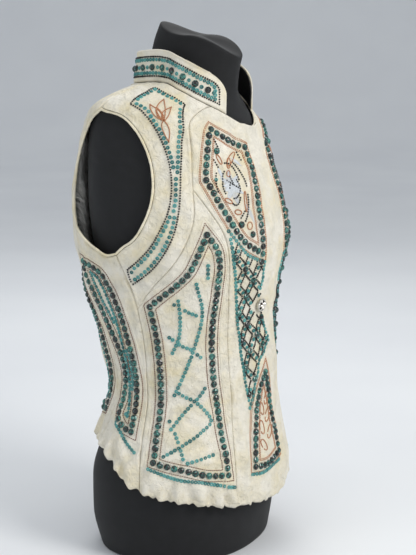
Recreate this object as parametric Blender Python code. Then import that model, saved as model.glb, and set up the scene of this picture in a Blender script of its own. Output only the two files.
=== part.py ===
"""Beaded sheepskin vest with a stand collar, buttoned on a limbless dress form.

Metres, +Z up. The vest faces -Y, the wearer's right side is at -X, and the origin is the centre of the
form's flat underside.

The form is a stack of rings. A place on it is (a, s): a is in degrees round from the centre front towards
the wearer's right, so 90 is the right side, -90 the left side and 180 the centre back, and s runs up the
form from its underside. The vest is cut from the same rings, let out by its ease, and its seams, edges and
bead rows are drawn on it in (a, s).
"""

import math
from collections import namedtuple

import bpy
import numpy as np
from mathutils.geometry import delaunay_2d_cdt

# Leather and seams
WALL = 0.002
SEAM_GAP = 0.0003
LAP_RISE = 0.0037
LAP_FROM, LAP_FULL = 19.0, 14.0

# Beads: pointed glass studs, side by side in a row
BEAD_PITCH = 0.0104
BEAD_HALF = 0.0050
BEAD_RISE = 0.0040
CORNER_BEND = 0.85
CORNER_TURN = math.radians(50)

# Rippled hem
HEM_WAVES = 36
HEM_UNEVEN = 0.8
HEM_RIPPLE = 0.0040
RIPPLE_REACH = 0.036
FRONT_CALM = 0.25

# Stand collar
COLLAR_HEIGHT = 0.047
COLLAR_END = 34.0
COLLAR_CORNER = 0.020
LEAN_BACK = 0.15
LEAN_FRONT = -0.06
LINING_WALL = 0.0012
LINING_RISE = 0.004
STUDS_FROM = 49.0
STUD_PITCH = 0.0202
STUD_LEVEL = 0.45
COLLAR_SECTORS = 36
COLLAR_DEGREE = 0.0014

# Armhole binding, button
BINDING_RADIUS = 0.0018
BUTTON_RADIUS = 0.0100
BUTTON_DOME = 0.0085
BUTTON_RIM = 0.0016
BUTTON_AT = (12.5, 0.381)
BUTTON_GAP = 0.0008

# Spacing of the mesh points
DEGREE = 0.00235
SEAM_STEP = 0.017
ACROSS = 0.023
UP = 0.027
FORM_SECTORS = 40

Ring = namedtuple("Ring", "name s z_front z_side z_back half_width y_front y_side y_back power")
RINGS = (
    Ring("base", 0.000, 0.000, 0.000, 0.000, 0.151, -0.119, 0.003, 0.118, 2.3),
    Ring("low_hip", 0.055, 0.055, 0.055, 0.055, 0.165, -0.125, 0.002, 0.129, 2.3),
    Ring("hip", 0.110, 0.110, 0.110, 0.110, 0.168, -0.125, 0.002, 0.128, 2.3),
    Ring("high_hip", 0.180, 0.180, 0.180, 0.180, 0.152, -0.118, 0.000, 0.108, 2.3),
    Ring("waist", 0.250, 0.250, 0.250, 0.250, 0.126, -0.108, -0.004, 0.090, 2.2),
    Ring("low_rib", 0.330, 0.330, 0.330, 0.330, 0.128, -0.112, 0.000, 0.100, 2.2),
    Ring("under_bust", 0.400, 0.400, 0.400, 0.400, 0.138, -0.122, 0.006, 0.115, 2.2),
    Ring("bust", 0.470, 0.470, 0.460, 0.470, 0.150, -0.136, 0.014, 0.126, 2.3),
    Ring("armpit", 0.530, 0.530, 0.515, 0.530, 0.154, -0.130, 0.024, 0.128, 2.4),
    Ring("mid_armhole", 0.600, 0.580, 0.585, 0.590, 0.156, -0.116, 0.036, 0.124, 2.4),
    Ring("shoulder_tip", 0.680, 0.610, 0.662, 0.645, 0.156, -0.108, 0.046, 0.114, 2.2),
    Ring("mid_shoulder", 0.730, 0.628, 0.688, 0.675, 0.112, -0.104, 0.022, 0.092, 2.0),
    Ring("neck_base", 0.780, 0.640, 0.698, 0.699, 0.068, -0.101, -0.012, 0.067, 2.0),
    Ring("neck_low", 0.820, 0.680, 0.730, 0.735, 0.056, -0.082, -0.014, 0.052, 2.0),
    Ring("neck_mid", 0.850, 0.708, 0.752, 0.763, 0.053, -0.084, -0.020, 0.045, 2.0),
    Ring("neck_top", 0.880, 0.735, 0.766, 0.787, 0.051, -0.090, -0.026, 0.036, 2.0),
)
BUST_AT = (27.0, 0.470)
BUST_SPREAD = (19.0, 0.050)
BUST_OUT = 0.005

# How far the inside of the vest stands off the form
Ease = namedtuple("Ease", "s front side back")
EASE = (
    Ease(0.000, 0.0220, 0.0075, 0.0120),
    Ease(0.100, 0.0220, 0.0075, 0.0120),
    Ease(0.180, 0.0190, 0.0070, 0.0080),
    Ease(0.250, 0.0250, 0.0130, 0.0160),
    Ease(0.330, 0.0190, 0.0130, 0.0260),
    Ease(0.400, 0.0150, 0.0130, 0.0300),
    Ease(0.470, 0.0075, 0.0130, 0.0290),
    Ease(0.530, 0.0060, 0.0100, 0.0270),
    Ease(0.600, 0.0050, 0.0070, 0.0200),
    Ease(0.680, 0.0034, 0.0034, 0.0080),
    Ease(0.730, 0.0026, 0.0026, 0.0030),
    Ease(0.780, 0.0035, 0.0035, 0.0035),
)

# Levels of the hem and the neckline round the body: (degrees from the centre front, s)
HEM_LEVEL = ((0, 0.078), (30, 0.087), (60, 0.100), (80, 0.107), (92, 0.118), (108, 0.146), (135, 0.166),
             (180, 0.174))
NECK_LEVEL = ((0, 0.762), (34, 0.758), (56, 0.749), (72, 0.753), (88, 0.764), (107, 0.772), (135, 0.768),
              (180, 0.765))

# Seams of the right half: (degrees, s) from the top down. The left half mirrors them
YOKE_TOP_SEAM = ((47.0, None), (48.0, 0.700), (50.0, 0.620), (53.0, 0.565))
YOKE_LOW_SEAM = ((53.0, 0.565), (56.5, 0.515), (61.0, 0.490), (66.5, 0.466), (73.0, 0.443), (80.0, 0.420),
                 (91.0, 0.380))
UNDERARM_SEAM = ((96.5, 0.469), (93.0, 0.425), (91.0, 0.380))
SIDE_SEAM = ((91.0, 0.380), (90.0, 0.318), (90.0, 0.258), (89.0, 0.185), (87.5, None))
PRINCESS_SEAM = ((53.0, 0.565), (46.5, 0.530), (41.0, 0.498), (38.0, 0.450), (36.0, 0.380), (35.5, 0.320),
                 (33.0, 0.240), (30.5, 0.180), (30.0, None))
BACK_SEAM = ((137.0, 0.497), (136.0, 0.440), (132.5, 0.400), (129.0, 0.368), (124.0, 0.337), (120.0, 0.310),
             (117.5, 0.265), (119.5, 0.230), (122.0, 0.190), (124.0, None))
SHOULDER_SEAM = ((101.0, None), (99.0, 0.730), (97.0, 0.685))
ARMHOLE_FRONT = ((97.0, 0.685), (84.0, 0.676), (77.5, 0.655), (73.7, 0.630), (72.0, 0.600), (73.0, 0.570),
                 (76.0, 0.545), (80.5, 0.520), (87.0, 0.492), (96.5, 0.469))
ARMHOLE_UNDER = ((96.5, 0.469), (104.0, 0.465), (113.0, 0.473), (124.0, 0.484), (137.0, 0.497))
ARMHOLE_BACK = ((137.0, 0.497), (141.0, 0.525), (141.0, 0.555), (137.5, 0.590), (130.0, 0.622),
                (119.0, 0.652), (107.0, 0.675), (97.0, 0.685))

# Front edges: the right front laps over the left one, and widens below the button
RIGHT_EDGE = ((-14.0, None), (-11.0, 0.700), (-6.0, 0.620), (-3.5, 0.560), (-2.0, 0.490), (-2.0, 0.420),
              (-3.5, 0.370), (-8.5, 0.335), (-14.0, 0.295), (-18.5, 0.245), (-21.5, 0.190), (-23.0, 0.145),
              (-21.0, 0.112), (-15.0, 0.092), (-7.0, None))
LEFT_EDGE = ((8.0, None), (7.5, 0.600), (7.5, 0.400), (7.5, 0.200), (7.5, 0.120), (4.0, 0.090),
             (-4.0, None))

# Rows of large beads on the right half, side by side from corner to corner: (degrees, s)
DIAMOND = (
    ((36.0, 0.692), (25.0, 0.680), (13.5, 0.660)),
    ((13.5, 0.660), (12.0, 0.600), (13.0, 0.550), (15.0, 0.505), (15.5, 0.458)),
    ((15.5, 0.458), (28.0, 0.477), (37.0, 0.520), (44.5, 0.578)),
    ((44.5, 0.578), (40.0, 0.635), (36.0, 0.692)),
)
WEDGE = (
    ((5.0, 0.272), (11.0, 0.248), (13.0, 0.220), (14.5, 0.185), (16.0, 0.150), (16.5, 0.134)),
    ((16.5, 0.134), (6.0, 0.132), (-3.0, 0.140)),
    ((-3.0, 0.140), (-3.0, 0.160), (-1.0, 0.193), (1.0, 0.230), (5.0, 0.272)),
)
HOURGLASS = (
    ((50.0, 0.497), (45.5, 0.476), (44.0, 0.455), (44.0, 0.413), (46.0, 0.370), (47.0, 0.330),
     (46.5, 0.290), (43.5, 0.235), (40.0, 0.200), (37.0, 0.168), (35.5, 0.133)),
    ((35.5, 0.133), (47.0, 0.136), (60.0, 0.144), (72.0, 0.150), (80.5, 0.155)),
    ((80.5, 0.155), (80.5, 0.200), (81.0, 0.240), (81.0, 0.290), (82.0, 0.335), (84.0, 0.385)),
    ((84.0, 0.385), (76.0, 0.402), (68.0, 0.421), (61.0, 0.442), (56.0, 0.468), (50.0, 0.497)),
)
LEAF = (
    ((131.0, 0.449), (122.0, 0.446), (113.0, 0.436), (109.5, 0.415), (106.0, 0.385), (103.0, 0.350),
     (100.0, 0.312), (97.5, 0.270), (97.5, 0.235), (96.0, 0.192)),
    ((96.0, 0.192), (104.0, 0.197), (110.5, 0.209), (110.0, 0.235), (107.5, 0.270), (108.5, 0.298),
     (113.0, 0.325), (119.0, 0.355), (124.0, 0.385), (128.5, 0.415), (131.0, 0.449)),
)
BACK_PANEL = (
    ((180.0, 0.452), (162.0, 0.425), (147.0, 0.395), (138.0, 0.370), (133.0, 0.345), (129.0, 0.320),
     (126.5, 0.295), (126.0, 0.270), (128.5, 0.245), (130.5, 0.210)),
    ((130.5, 0.210), (148.0, 0.206), (180.0, 0.204)),
)

IVORY_LEATHER = ((0.84, 0.79, 0.66, 1.0), 0.62, 0.0)
BINDING_LEATHER = ((0.86, 0.81, 0.68, 1.0), 0.55, 0.0)
DARK_LINING = ((0.020, 0.020, 0.022, 1.0), 0.85, 0.0)
SILVER = ((0.62, 0.60, 0.56, 1.0), 0.32, 1.0)
BLACK_JERSEY = ((0.010, 0.010, 0.012, 1.0), 0.90, 0.0)

# Bead centres, the points between them and the points beside them, each (degrees, s)
Beads = namedtuple("Beads", "centres between beside")
NO_POINTS = np.zeros((0, 2))
NO_BEADS = Beads(NO_POINTS, NO_POINTS, NO_POINTS)


def clear_scene():
    for old in list(bpy.data.objects):
        bpy.data.objects.remove(old, do_unlink=True)


def finish(name, look):
    colour, roughness, metallic = look
    material = bpy.data.materials.get(name) or bpy.data.materials.new(name)
    material.use_nodes = True
    shader = material.node_tree.nodes["Principled BSDF"]
    shader.inputs["Base Color"].default_value = colour
    shader.inputs["Roughness"].default_value = roughness
    shader.inputs["Metallic"].default_value = metallic
    return material


def add_object(name, points, faces, material):
    mesh = bpy.data.meshes.new(name)
    mesh.from_pydata([tuple(p) for p in points], [], faces)
    mesh.validate()
    mesh.shade_smooth()
    mesh.set_sharp_from_angle(angle=math.radians(40))
    mesh.materials.append(material)
    item = bpy.data.objects.new(name, mesh)
    bpy.context.scene.collection.objects.link(item)
    return item


def smooth(t, table):
    """Monotone cubic through a table of (t, value) rows."""
    k, v = np.array(table, float).T
    t = np.clip(np.asarray(t, float), k[0], k[-1])
    h = np.diff(k)
    d = np.diff(v) / h
    m = np.zeros_like(v)
    w1 = 2 * h[1:] + h[:-1]
    w2 = h[1:] + 2 * h[:-1]
    same = d[1:] * d[:-1] > 0
    lower = np.where(same, d[:-1], 1.0)
    upper = np.where(same, d[1:], 1.0)
    m[1:-1] = np.where(same, (w1 + w2) / (w1 / lower + w2 / upper), 0.0)
    m[0], m[-1] = d[0], d[-1]
    i = np.clip(np.searchsorted(k, t, side="right") - 1, 0, len(h) - 1)
    x = (t - k[i]) / h[i]
    return ((1 + 2 * x) * (1 - x) ** 2 * v[i] + x * (1 - x) ** 2 * h[i] * m[i]
            + x * x * (3 - 2 * x) * v[i + 1] + x * x * (x - 1) * h[i] * m[i + 1])


def step(x):
    """Soft step from 0 at x = 0 to 1 at x = 1."""
    x = np.clip(x, 0.0, 1.0)
    return x * x * (3 - 2 * x)


def unit(vectors):
    return vectors / np.linalg.norm(vectors, axis=-1, keepdims=True)


def turned(a):
    """Degrees from the centre front, never negative."""
    return np.abs((np.asarray(a, float) + 180) % 360 - 180)


def column(table, name, s):
    return smooth(s, [(row.s, getattr(row, name)) for row in table])


def blend(a, front, side, back):
    """Value between the front, side and back ones, by the squared cosine of a."""
    c = np.cos(np.radians(a))
    return side + (front - side) * np.maximum(c, 0) ** 2 + (back - side) * np.maximum(-c, 0) ** 2


def form_point(a, s):
    """Point of the form: a superellipse in plan, with its height blended round the ring."""
    a = np.asarray(a, float)
    s = np.asarray(s, float)
    power = 2 / column(RINGS, "power", s)
    c = np.cos(np.radians(a))
    d = np.sin(np.radians(a))
    side_y = column(RINGS, "y_side", s)
    x = -column(RINGS, "half_width", s) * np.sign(d) * np.abs(d) ** power
    y = (side_y + (column(RINGS, "y_front", s) - side_y) * np.maximum(c, 0) ** power
         + (column(RINGS, "y_back", s) - side_y) * np.maximum(-c, 0) ** power)
    z = blend(a, column(RINGS, "z_front", s), column(RINGS, "z_side", s), column(RINGS, "z_back", s))
    bust = BUST_OUT * np.exp(-((turned(a) - BUST_AT[0]) / BUST_SPREAD[0]) ** 2
                             - ((s - BUST_AT[1]) / BUST_SPREAD[1]) ** 2)
    return np.stack([x - 0.25 * np.sign(d) * bust, y - 0.95 * bust, z], axis=-1)


def form_slopes(a, s):
    """Change of the form point for each degree and for each metre of s."""
    da, ds = 0.5, 0.002
    by_a = (form_point(a + da, s) - form_point(a - da, s)) / (2 * da)
    by_s = (form_point(a, s + ds) - form_point(a, s - ds)) / (2 * ds)
    return by_a, by_s


def normals(a, s):
    by_a, by_s = form_slopes(a, s)
    return unit(np.cross(by_s, by_a))


def hem_level(a):
    return smooth(turned(a), HEM_LEVEL)


def neck_level(a):
    return smooth(turned(a), NECK_LEVEL)


def hem_phase(a):
    """Phase of the hem's ripples, with uneven spacing, whole round the body."""
    r = np.radians(a)
    return HEM_WAVES * r + HEM_UNEVEN * (np.sin(3 * r + 0.6) + np.sin(7 * r + 2.0))


def ripple(a, s):
    """Sine wave of the hem, calmer at the front and fading out above the edge."""
    calm = FRONT_CALM + (1 - FRONT_CALM) * step((turned(a) - 14) / 12)
    fade = 1 - step((s - hem_level(a)) / RIPPLE_REACH)
    return HEM_RIPPLE * calm * fade * np.sin(hem_phase(a))


def vest_point(a, s, out=0.0):
    """Point of the vest: the form let out by its ease, its hem's ripple and out."""
    a = np.asarray(a, float)
    s = np.asarray(s, float)
    ease = blend(a, column(EASE, "front", s), column(EASE, "side", s), column(EASE, "back", s))
    return form_point(a, s) + normals(a, s) * (ease + ripple(a, s) + out)[..., None]


def lapped_point(a, s, out=0.0):
    """Point of the right front, which rises over the left one near the centre front."""
    rise = LAP_RISE * step((LAP_FROM - np.asarray(a, float)) / (LAP_FROM - LAP_FULL))
    return vest_point(a, s, rise + out)


def collar_point(a, h, out=0.0):
    """Point of the collar, h above the neckline, leaning in behind and out in front."""
    a = np.asarray(a, float)
    h = np.asarray(h, float)
    level = neck_level(a)
    foot = vest_point(a, level, WALL) + SEAM_GAP * unit(form_slopes(a, level)[1])
    away = unit(normals(a, level) * (1.0, 1.0, 0.0))
    lean = blend(a, LEAN_FRONT, 0.5 * (LEAN_FRONT + LEAN_BACK), LEAN_BACK)
    rise = np.stack([0 * h, 0 * h, h], axis=-1)
    return foot + rise + away * (out - WALL - lean * h)[..., None]


def curve_through(points, spacing, level=hem_level):
    """Even points along a smooth curve through (degrees, s) points; None stands for the edge's level."""
    p = np.array([(a, level(a) if s is None else s) for a, s in points], float)
    flat = p * (DEGREE, 1)
    t = np.concatenate([[0], np.cumsum(np.linalg.norm(np.diff(flat, axis=0), axis=1))])
    m = np.gradient(p, t, axis=0)
    fine = np.linspace(0, t[-1], 400)
    i = np.clip(np.searchsorted(t, fine, side="right") - 1, 0, len(t) - 2)
    h = (t[i + 1] - t[i])[:, None]
    x = (fine - t[i])[:, None] / h
    path = ((1 + 2 * x) * (1 - x) ** 2 * p[i] + x * (1 - x) ** 2 * h * m[i]
            + x * x * (3 - 2 * x) * p[i + 1] + x * x * (x - 1) * h * m[i + 1])
    return even_points(path, spacing)


def even_points(path, spacing, place=vest_point):
    """Points of a path in (degrees, s), at even distances on the cloth, both ends kept."""
    real = place(path[:, 0], path[:, 1])
    run = np.concatenate([[0], np.cumsum(np.linalg.norm(np.diff(real, axis=0), axis=1))])
    count = max(1, round(run[-1] / spacing))
    at = np.linspace(0, run[-1], count + 1)
    return np.stack([np.interp(at, run, path[:, i]) for i in (0, 1)], axis=1)


def chain(*parts):
    """Join curves end to end into one closed outline, leaving out each joint's double."""
    return np.vstack([part[:-1] for part in parts])


def hem_between(a0, a1):
    """Hem from a0 to a1, with a point at each crest, trough and middle of its ripples."""
    fine = np.linspace(min(a0, a1), max(a0, a1), 2000)
    phase = hem_phase(fine)
    turns = np.arange(math.ceil(phase[0] / (math.pi / 2)), phase[-1] / (math.pi / 2))
    inner = np.interp(turns * math.pi / 2, phase, fine)
    inner = inner[(inner > fine[0] + 1.0) & (inner < fine[-1] - 1.0)]
    a = np.concatenate([[fine[0]], inner, [fine[-1]]])
    if a0 > a1:
        a = a[::-1]
    return np.stack([a, hem_level(a)], axis=1)


def neck_between(a0, a1):
    a = np.linspace(a0, a1, 60)
    return even_points(np.stack([a, neck_level(a)], axis=1), SEAM_STEP)


def front_edge(points):
    """Front edge from the neckline down to the hem."""
    top = points[0][0]
    return curve_through(((top, neck_level(top)),) + points[1:], SEAM_STEP)


def inside(points, outline):
    """Which points lie inside the closed outline, by counting crossings."""
    x, y = points.T
    x0, y0 = outline.T
    x1, y1 = np.roll(outline, -1, axis=0).T
    hit = np.zeros(len(points), bool)
    for ax, ay, bx, by in zip(x0, y0, x1, y1):
        if ay != by:
            hit ^= ((ay > y) != (by > y)) & (x < (bx - ax) * (y - ay) / (by - ay) + ax)
    return hit


def apart(points, others, distance):
    """Points at least distance from all others and from each other, first come first kept."""
    kept = [np.asarray(p) for p in others]
    first = len(kept)
    for p in points:
        if not kept or min(np.hypot(*(p - q)) for q in kept) >= distance:
            kept.append(p)
    return np.array(kept[first:]).reshape(-1, 2)


def away_from(points, outline, distance):
    """Points farther than distance from every edge of the outline."""
    start = outline
    run = np.roll(outline, -1, axis=0) - start
    t = ((points[:, None] - start) * run).sum(-1) / (run * run).sum(-1)
    near = start + run * np.clip(t, 0, 1)[..., None]
    return points[np.linalg.norm(points[:, None] - near, axis=-1).min(axis=1) > distance]


def staggered(low, high):
    """Points of a brick pattern between two corners."""
    rows = np.arange(low[1], high[1], UP)
    columns = np.arange(low[0], high[0], ACROSS)
    return np.array([(u + (i % 2) * ACROSS / 2, v) for i, v in enumerate(rows) for u in columns])


def triangles(outline, points):
    """Delaunay triangles of the outline's inside, over its own points and the given ones."""
    every = np.vstack([outline, points]) if len(points) else outline
    result = delaunay_2d_cdt([tuple(p) for p in every], [], [list(range(len(outline)))], 1, 1e-7)
    origin = [ids[0] for ids in result[3]]
    return [[origin[i] for i in face] for face in result[2]]


def edge_shift(points, outward):
    """Moves a closed loop of points inwards by half the seam's gap, in the cloth's own plane."""
    ahead = unit(np.roll(points, -1, axis=0) - points)
    side_a = unit(np.cross(outward, ahead))
    side_b = unit(np.cross(outward, np.roll(ahead, 1, axis=0)))
    mitre = (side_a + side_b) / np.maximum(1 + (side_a * side_b).sum(1), 0.35)[:, None]
    return SEAM_GAP / 2 * mitre


def bead_row(sides, place):
    """Bead centres along the sides of a closed row, corner to corner, each (degrees, s)."""
    centres = []
    for side in sides:
        path = curve_through(side, 0.001)
        centres.append(even_points(path, BEAD_PITCH, place)[:-1])
    return np.vstack(centres)


def bead_feet(centres):
    """Points round the beads of a closed row: between each two, beside each, and outside each corner."""
    by_a, by_s = form_slopes(centres[:, 0], centres[:, 1])
    scale = np.stack([np.linalg.norm(by_a, axis=1), np.linalg.norm(by_s, axis=1)], axis=1)
    ahead = np.roll(centres, -1, axis=0)
    onward = unit((ahead - centres) * scale)
    backward = unit((np.roll(centres, 1, axis=0) - centres) * scale)
    run = unit(onward - backward)
    across = np.stack([-run[:, 1], run[:, 0]], axis=1)
    beside = [centres + side * BEAD_HALF * across / scale for side in (1, -1)]
    corner = (onward * backward).sum(axis=1) > -CORNER_BEND
    out = -unit((onward + backward)[corner])
    for turn in (-CORNER_TURN, CORNER_TURN):
        c, d = math.cos(turn), math.sin(turn)
        way = np.stack([c * out[:, 0] - d * out[:, 1], d * out[:, 0] + c * out[:, 1]], axis=1)
        beside.append(centres[corner] + BEAD_HALF * way / scale[corner])
    return (centres + ahead) / 2, np.vstack(beside)


def sewn_rows(rows, place):
    """Beads of closed rows, with the points between them and beside them."""
    centres = [bead_row(row, place) for row in rows]
    feet = [bead_feet(row) for row in centres]
    return Beads(np.vstack(centres), np.vstack([row[0] for row in feet]), np.vstack([row[1] for row in feet]))


def single_beads(centres, scale):
    """Beads that stand alone, with four points round each."""
    around = [centres + (BEAD_HALF * i / scale, BEAD_HALF * j) for i, j in ((1, 0), (-1, 0), (0, 1), (0, -1))]
    return Beads(centres, NO_POINTS, np.vstack(around))


def filling(flat, first, grid):
    """Points inside the outline: the first ones, then a grid or a brick pattern where they leave room."""
    margin = (0.45 if grid is None else 0.15) * ACROSS
    points = staggered(flat.min(axis=0), flat.max(axis=0)) if grid is None else grid
    points = away_from(points[inside(points, flat)], flat, margin)
    return np.vstack([first, apart(points, first, margin)])


def beaded(flat, plain, beads, between, beside):
    """Points of the beaded face: the beads, their feet, and the plain points that stay clear of them."""
    feet = apart(between, beads, 0.6 * BEAD_HALF)
    feet = np.vstack([feet, apart(beside, np.vstack([beads, feet]), 0.6 * BEAD_HALF)])
    feet = away_from(feet[inside(feet, flat)], flat, 0.3 * BEAD_HALF)
    fixed = np.vstack([beads, feet])
    return np.vstack([fixed, apart(plain, fixed, 1.6 * BEAD_HALF)])


def cloth(name, outline, place, look, beads=NO_BEADS, grid=None, wall=WALL, scale=DEGREE):
    """A closed wall of cloth inside an outline, with beads raised in its outer points."""
    size = np.array([scale, 1.0])
    flat = outline * size
    plain = filling(flat, ripple_points(outline, size), None if grid is None else grid * size)
    outer = beaded(flat, plain, *(part * size for part in beads)) if len(beads.centres) else plain
    outer_faces, inner_faces = triangles(flat, outer), triangles(flat, plain)
    face = np.vstack([outline, outer / size])
    back = np.vstack([outline, plain / size])
    n = len(outline)
    height = np.full(len(face), wall)
    height[n:n + len(beads.centres)] += BEAD_RISE
    top = place(face[:, 0], face[:, 1], height)
    bottom = place(back[:, 0], back[:, 1], np.zeros(len(back)))
    sense = 1.0 if signed_area(flat) < 0 else -1.0
    shift = sense * edge_shift(bottom[:n], top[:n] - bottom[:n])
    top[:n] += shift
    bottom[:n] += shift
    first = len(top)
    faces = outer_faces + [[first + i for i in reversed(f)] for f in inner_faces]
    faces += wall_faces(n, first, outer_faces)
    points = np.vstack([top, bottom])
    return add_object(name, points, outward_faces(points, faces), finish(*look))


def signed_area(flat):
    x, y = flat.T
    return 0.5 * float(np.sum(x * np.roll(y, -1) - y * np.roll(x, -1)))


def wall_faces(n, first, faces):
    """Two triangles for each edge of the outline, wound to match the outer face on that edge."""
    edges = {(f[i], f[(i + 1) % 3]) for f in faces for i in range(3)}
    result = []
    for i in range(n):
        j = (i + 1) % n
        if (i, j) in edges:
            i, j = j, i
        result += [[i, j, first + j], [i, first + j, first + i]]
    return result


def outward_faces(points, faces):
    """Turns all the faces over when the closed shape holds a negative volume."""
    p = np.asarray(points)
    f = np.array(faces)
    volume = np.einsum("ij,ij->", p[f[:, 0]], np.cross(p[f[:, 1]], p[f[:, 2]]))
    if volume < 0:
        f = f[:, ::-1]
    return f.tolist()


def ripple_points(outline, size):
    """Two rows of points above the hem, in line with its crests, troughs and middles."""
    a, s = outline.T
    on_hem = np.abs(s - hem_level(a)) < 1e-6
    a = a[on_hem]
    low = np.stack([a, hem_level(a) + 0.30 * RIPPLE_REACH], axis=1)
    high = np.stack([a[::2], hem_level(a[::2]) + 0.68 * RIPPLE_REACH], axis=1)
    points = np.vstack([low, high]) * size
    points = points[inside(points, outline * size)]
    return away_from(points, outline * size, 0.006)


def half_seams(sign):
    """Seams of one half as curves from the top down; a sign of -1 mirrors them to the left half."""
    curves = {
        "yoke_top": curve_through(YOKE_TOP_SEAM, SEAM_STEP, neck_level),
        "yoke_low": curve_through(YOKE_LOW_SEAM, SEAM_STEP),
        "underarm": curve_through(UNDERARM_SEAM, SEAM_STEP),
        "side": curve_through(SIDE_SEAM, SEAM_STEP),
        "princess": curve_through(PRINCESS_SEAM, SEAM_STEP),
        "back": curve_through(BACK_SEAM, SEAM_STEP),
        "shoulder": curve_through(SHOULDER_SEAM, SEAM_STEP, neck_level),
        "hole_front": curve_through(ARMHOLE_FRONT, SEAM_STEP),
        "hole_under": curve_through(ARMHOLE_UNDER, SEAM_STEP),
        "hole_back": curve_through(ARMHOLE_BACK, SEAM_STEP),
    }
    return {name: curve * (sign, 1.0) for name, curve in curves.items()}


def half_rows(rows, sign):
    """Bead rows of one half; a sign of -1 mirrors them to the left half."""
    return [[tuple((sign * a, s) for a, s in line) for line in row] for row in rows]


def vest_panels():
    leather = ("ivory_leather", IVORY_LEATHER)
    for sign, tag in ((1.0, "right"), (-1.0, "left")):
        seam = half_seams(sign)
        edge = front_edge(RIGHT_EDGE if sign > 0 else LEFT_EDGE)
        place = lapped_point if sign > 0 else vest_point
        rows = half_rows([DIAMOND, WEDGE] if sign > 0 else [DIAMOND], sign)
        outline = chain(neck_between(edge[0][0], sign * 47.0), seam["yoke_top"], seam["princess"],
                        hem_between(sign * 30.0, edge[-1][0]), edge[::-1])
        cloth("front_" + tag, outline, place, leather, sewn_rows(rows, place))

        outline = chain(neck_between(sign * 47.0, sign * 101.0), seam["shoulder"], seam["hole_front"],
                        seam["underarm"], seam["yoke_low"][::-1], seam["yoke_top"][::-1])
        cloth("armhole_yoke_" + tag, outline, vest_point, leather)

        outline = chain(seam["yoke_low"], seam["side"], hem_between(sign * 87.5, sign * 30.0),
                        seam["princess"][::-1])
        cloth("side_front_" + tag, outline, vest_point, leather,
              sewn_rows(half_rows([HOURGLASS], sign), vest_point))

        outline = chain(seam["hole_under"], seam["back"], hem_between(sign * 124.0, sign * 87.5),
                        seam["side"][::-1], seam["underarm"][::-1])
        cloth("side_back_" + tag, outline, vest_point, leather,
              sewn_rows(half_rows([LEAF], sign), vest_point))

    near = half_seams(1.0)
    far = {name: curve * (-1.0, 1.0) + (360.0, 0.0) for name, curve in near.items()}
    outline = chain(near["back"][::-1], near["hole_back"], near["shoulder"][::-1], neck_between(101.0, 259.0),
                    far["shoulder"], far["hole_back"][::-1], far["back"], hem_between(236.0, 124.0))
    left_rows = [tuple((360.0 - a, s) for a, s in line[::-1]) for line in BACK_PANEL[::-1]]
    cloth("back", outline, vest_point, leather, sewn_rows([list(BACK_PANEL) + left_rows], vest_point))


def collar_outline(height, drop=0.0, inset=0.0):
    """Collar seen flat, with round front corners: (degrees, height)."""
    end = COLLAR_END + inset / COLLAR_DEGREE
    radius = COLLAR_CORNER / COLLAR_DEGREE
    turns = np.radians(np.linspace(0, 90, 5))
    columns = collar_columns()
    along = columns[(columns > end + 1) & (columns < 359 - end)]
    along = np.concatenate([[end], along, [360 - end]])
    above = columns[(columns > end + radius + 1) & (columns < 359 - end - radius)]
    above = np.concatenate([[end + radius], above, [360 - end - radius]])
    low = np.stack([along[::-1], np.full(len(along), drop)], axis=1)
    top = np.stack([above, np.full(len(above), height)], axis=1)
    near = np.stack([end + radius * (1 - np.cos(turns)),
                     height - COLLAR_CORNER * (1 - np.sin(turns))], axis=1)
    rise = np.array([(end, drop), (end, height - COLLAR_CORNER)])
    far_side = near[::-1] * (-1.0, 1.0) + (360.0, 0.0)
    fall = rise[::-1] * (-1.0, 1.0) + (360.0, 0.0)
    return chain(low, rise, near, top, far_side, fall)


def collar_columns():
    return np.linspace(COLLAR_END, 360 - COLLAR_END, COLLAR_SECTORS + 1)


def lining_point(a, h, out):
    """Point of the collar's lining, behind the collar's leather."""
    return collar_point(a, h, out - LINING_WALL - SEAM_GAP)


def collar():
    level = STUD_LEVEL * COLLAR_HEIGHT
    line = np.linspace((STUDS_FROM, level), (360 - STUDS_FROM, level), 400)
    studs = single_beads(even_points(line, STUD_PITCH, collar_point), COLLAR_DEGREE)
    grid = np.array([(a, COLLAR_HEIGHT * part) for a in collar_columns() for part in (0.24, STUD_LEVEL, 0.73)])
    cloth("collar", collar_outline(COLLAR_HEIGHT), collar_point, ("ivory_leather", IVORY_LEATHER), studs,
          grid, scale=COLLAR_DEGREE)
    cloth("collar_lining", collar_outline(COLLAR_HEIGHT - 0.001, LINING_RISE, 0.001), lining_point,
          ("dark_lining", DARK_LINING), grid=grid, wall=LINING_WALL, scale=COLLAR_DEGREE)


def ring_sweep(path, outward, radius, sides):
    """A round cord on a closed path: circles across it, joined into a ring."""
    ahead = unit(np.roll(path, -1, axis=0) - np.roll(path, 1, axis=0))
    up = unit(outward - (outward * ahead).sum(1)[:, None] * ahead)
    across = np.cross(ahead, up)
    turn = np.linspace(0, 2 * math.pi, sides, endpoint=False)
    circle = (np.cos(turn)[None, :, None] * up[:, None] + np.sin(turn)[None, :, None] * across[:, None])
    points = (path[:, None] + radius * circle).reshape(-1, 3)
    n = len(path)
    faces = []
    for i in range(n):
        for j in range(sides):
            a = i * sides + j
            b = i * sides + (j + 1) % sides
            c = (i + 1) % n * sides + (j + 1) % sides
            d = (i + 1) % n * sides + j
            faces += [[a, b, c], [a, c, d]]
    return points, faces


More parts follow.
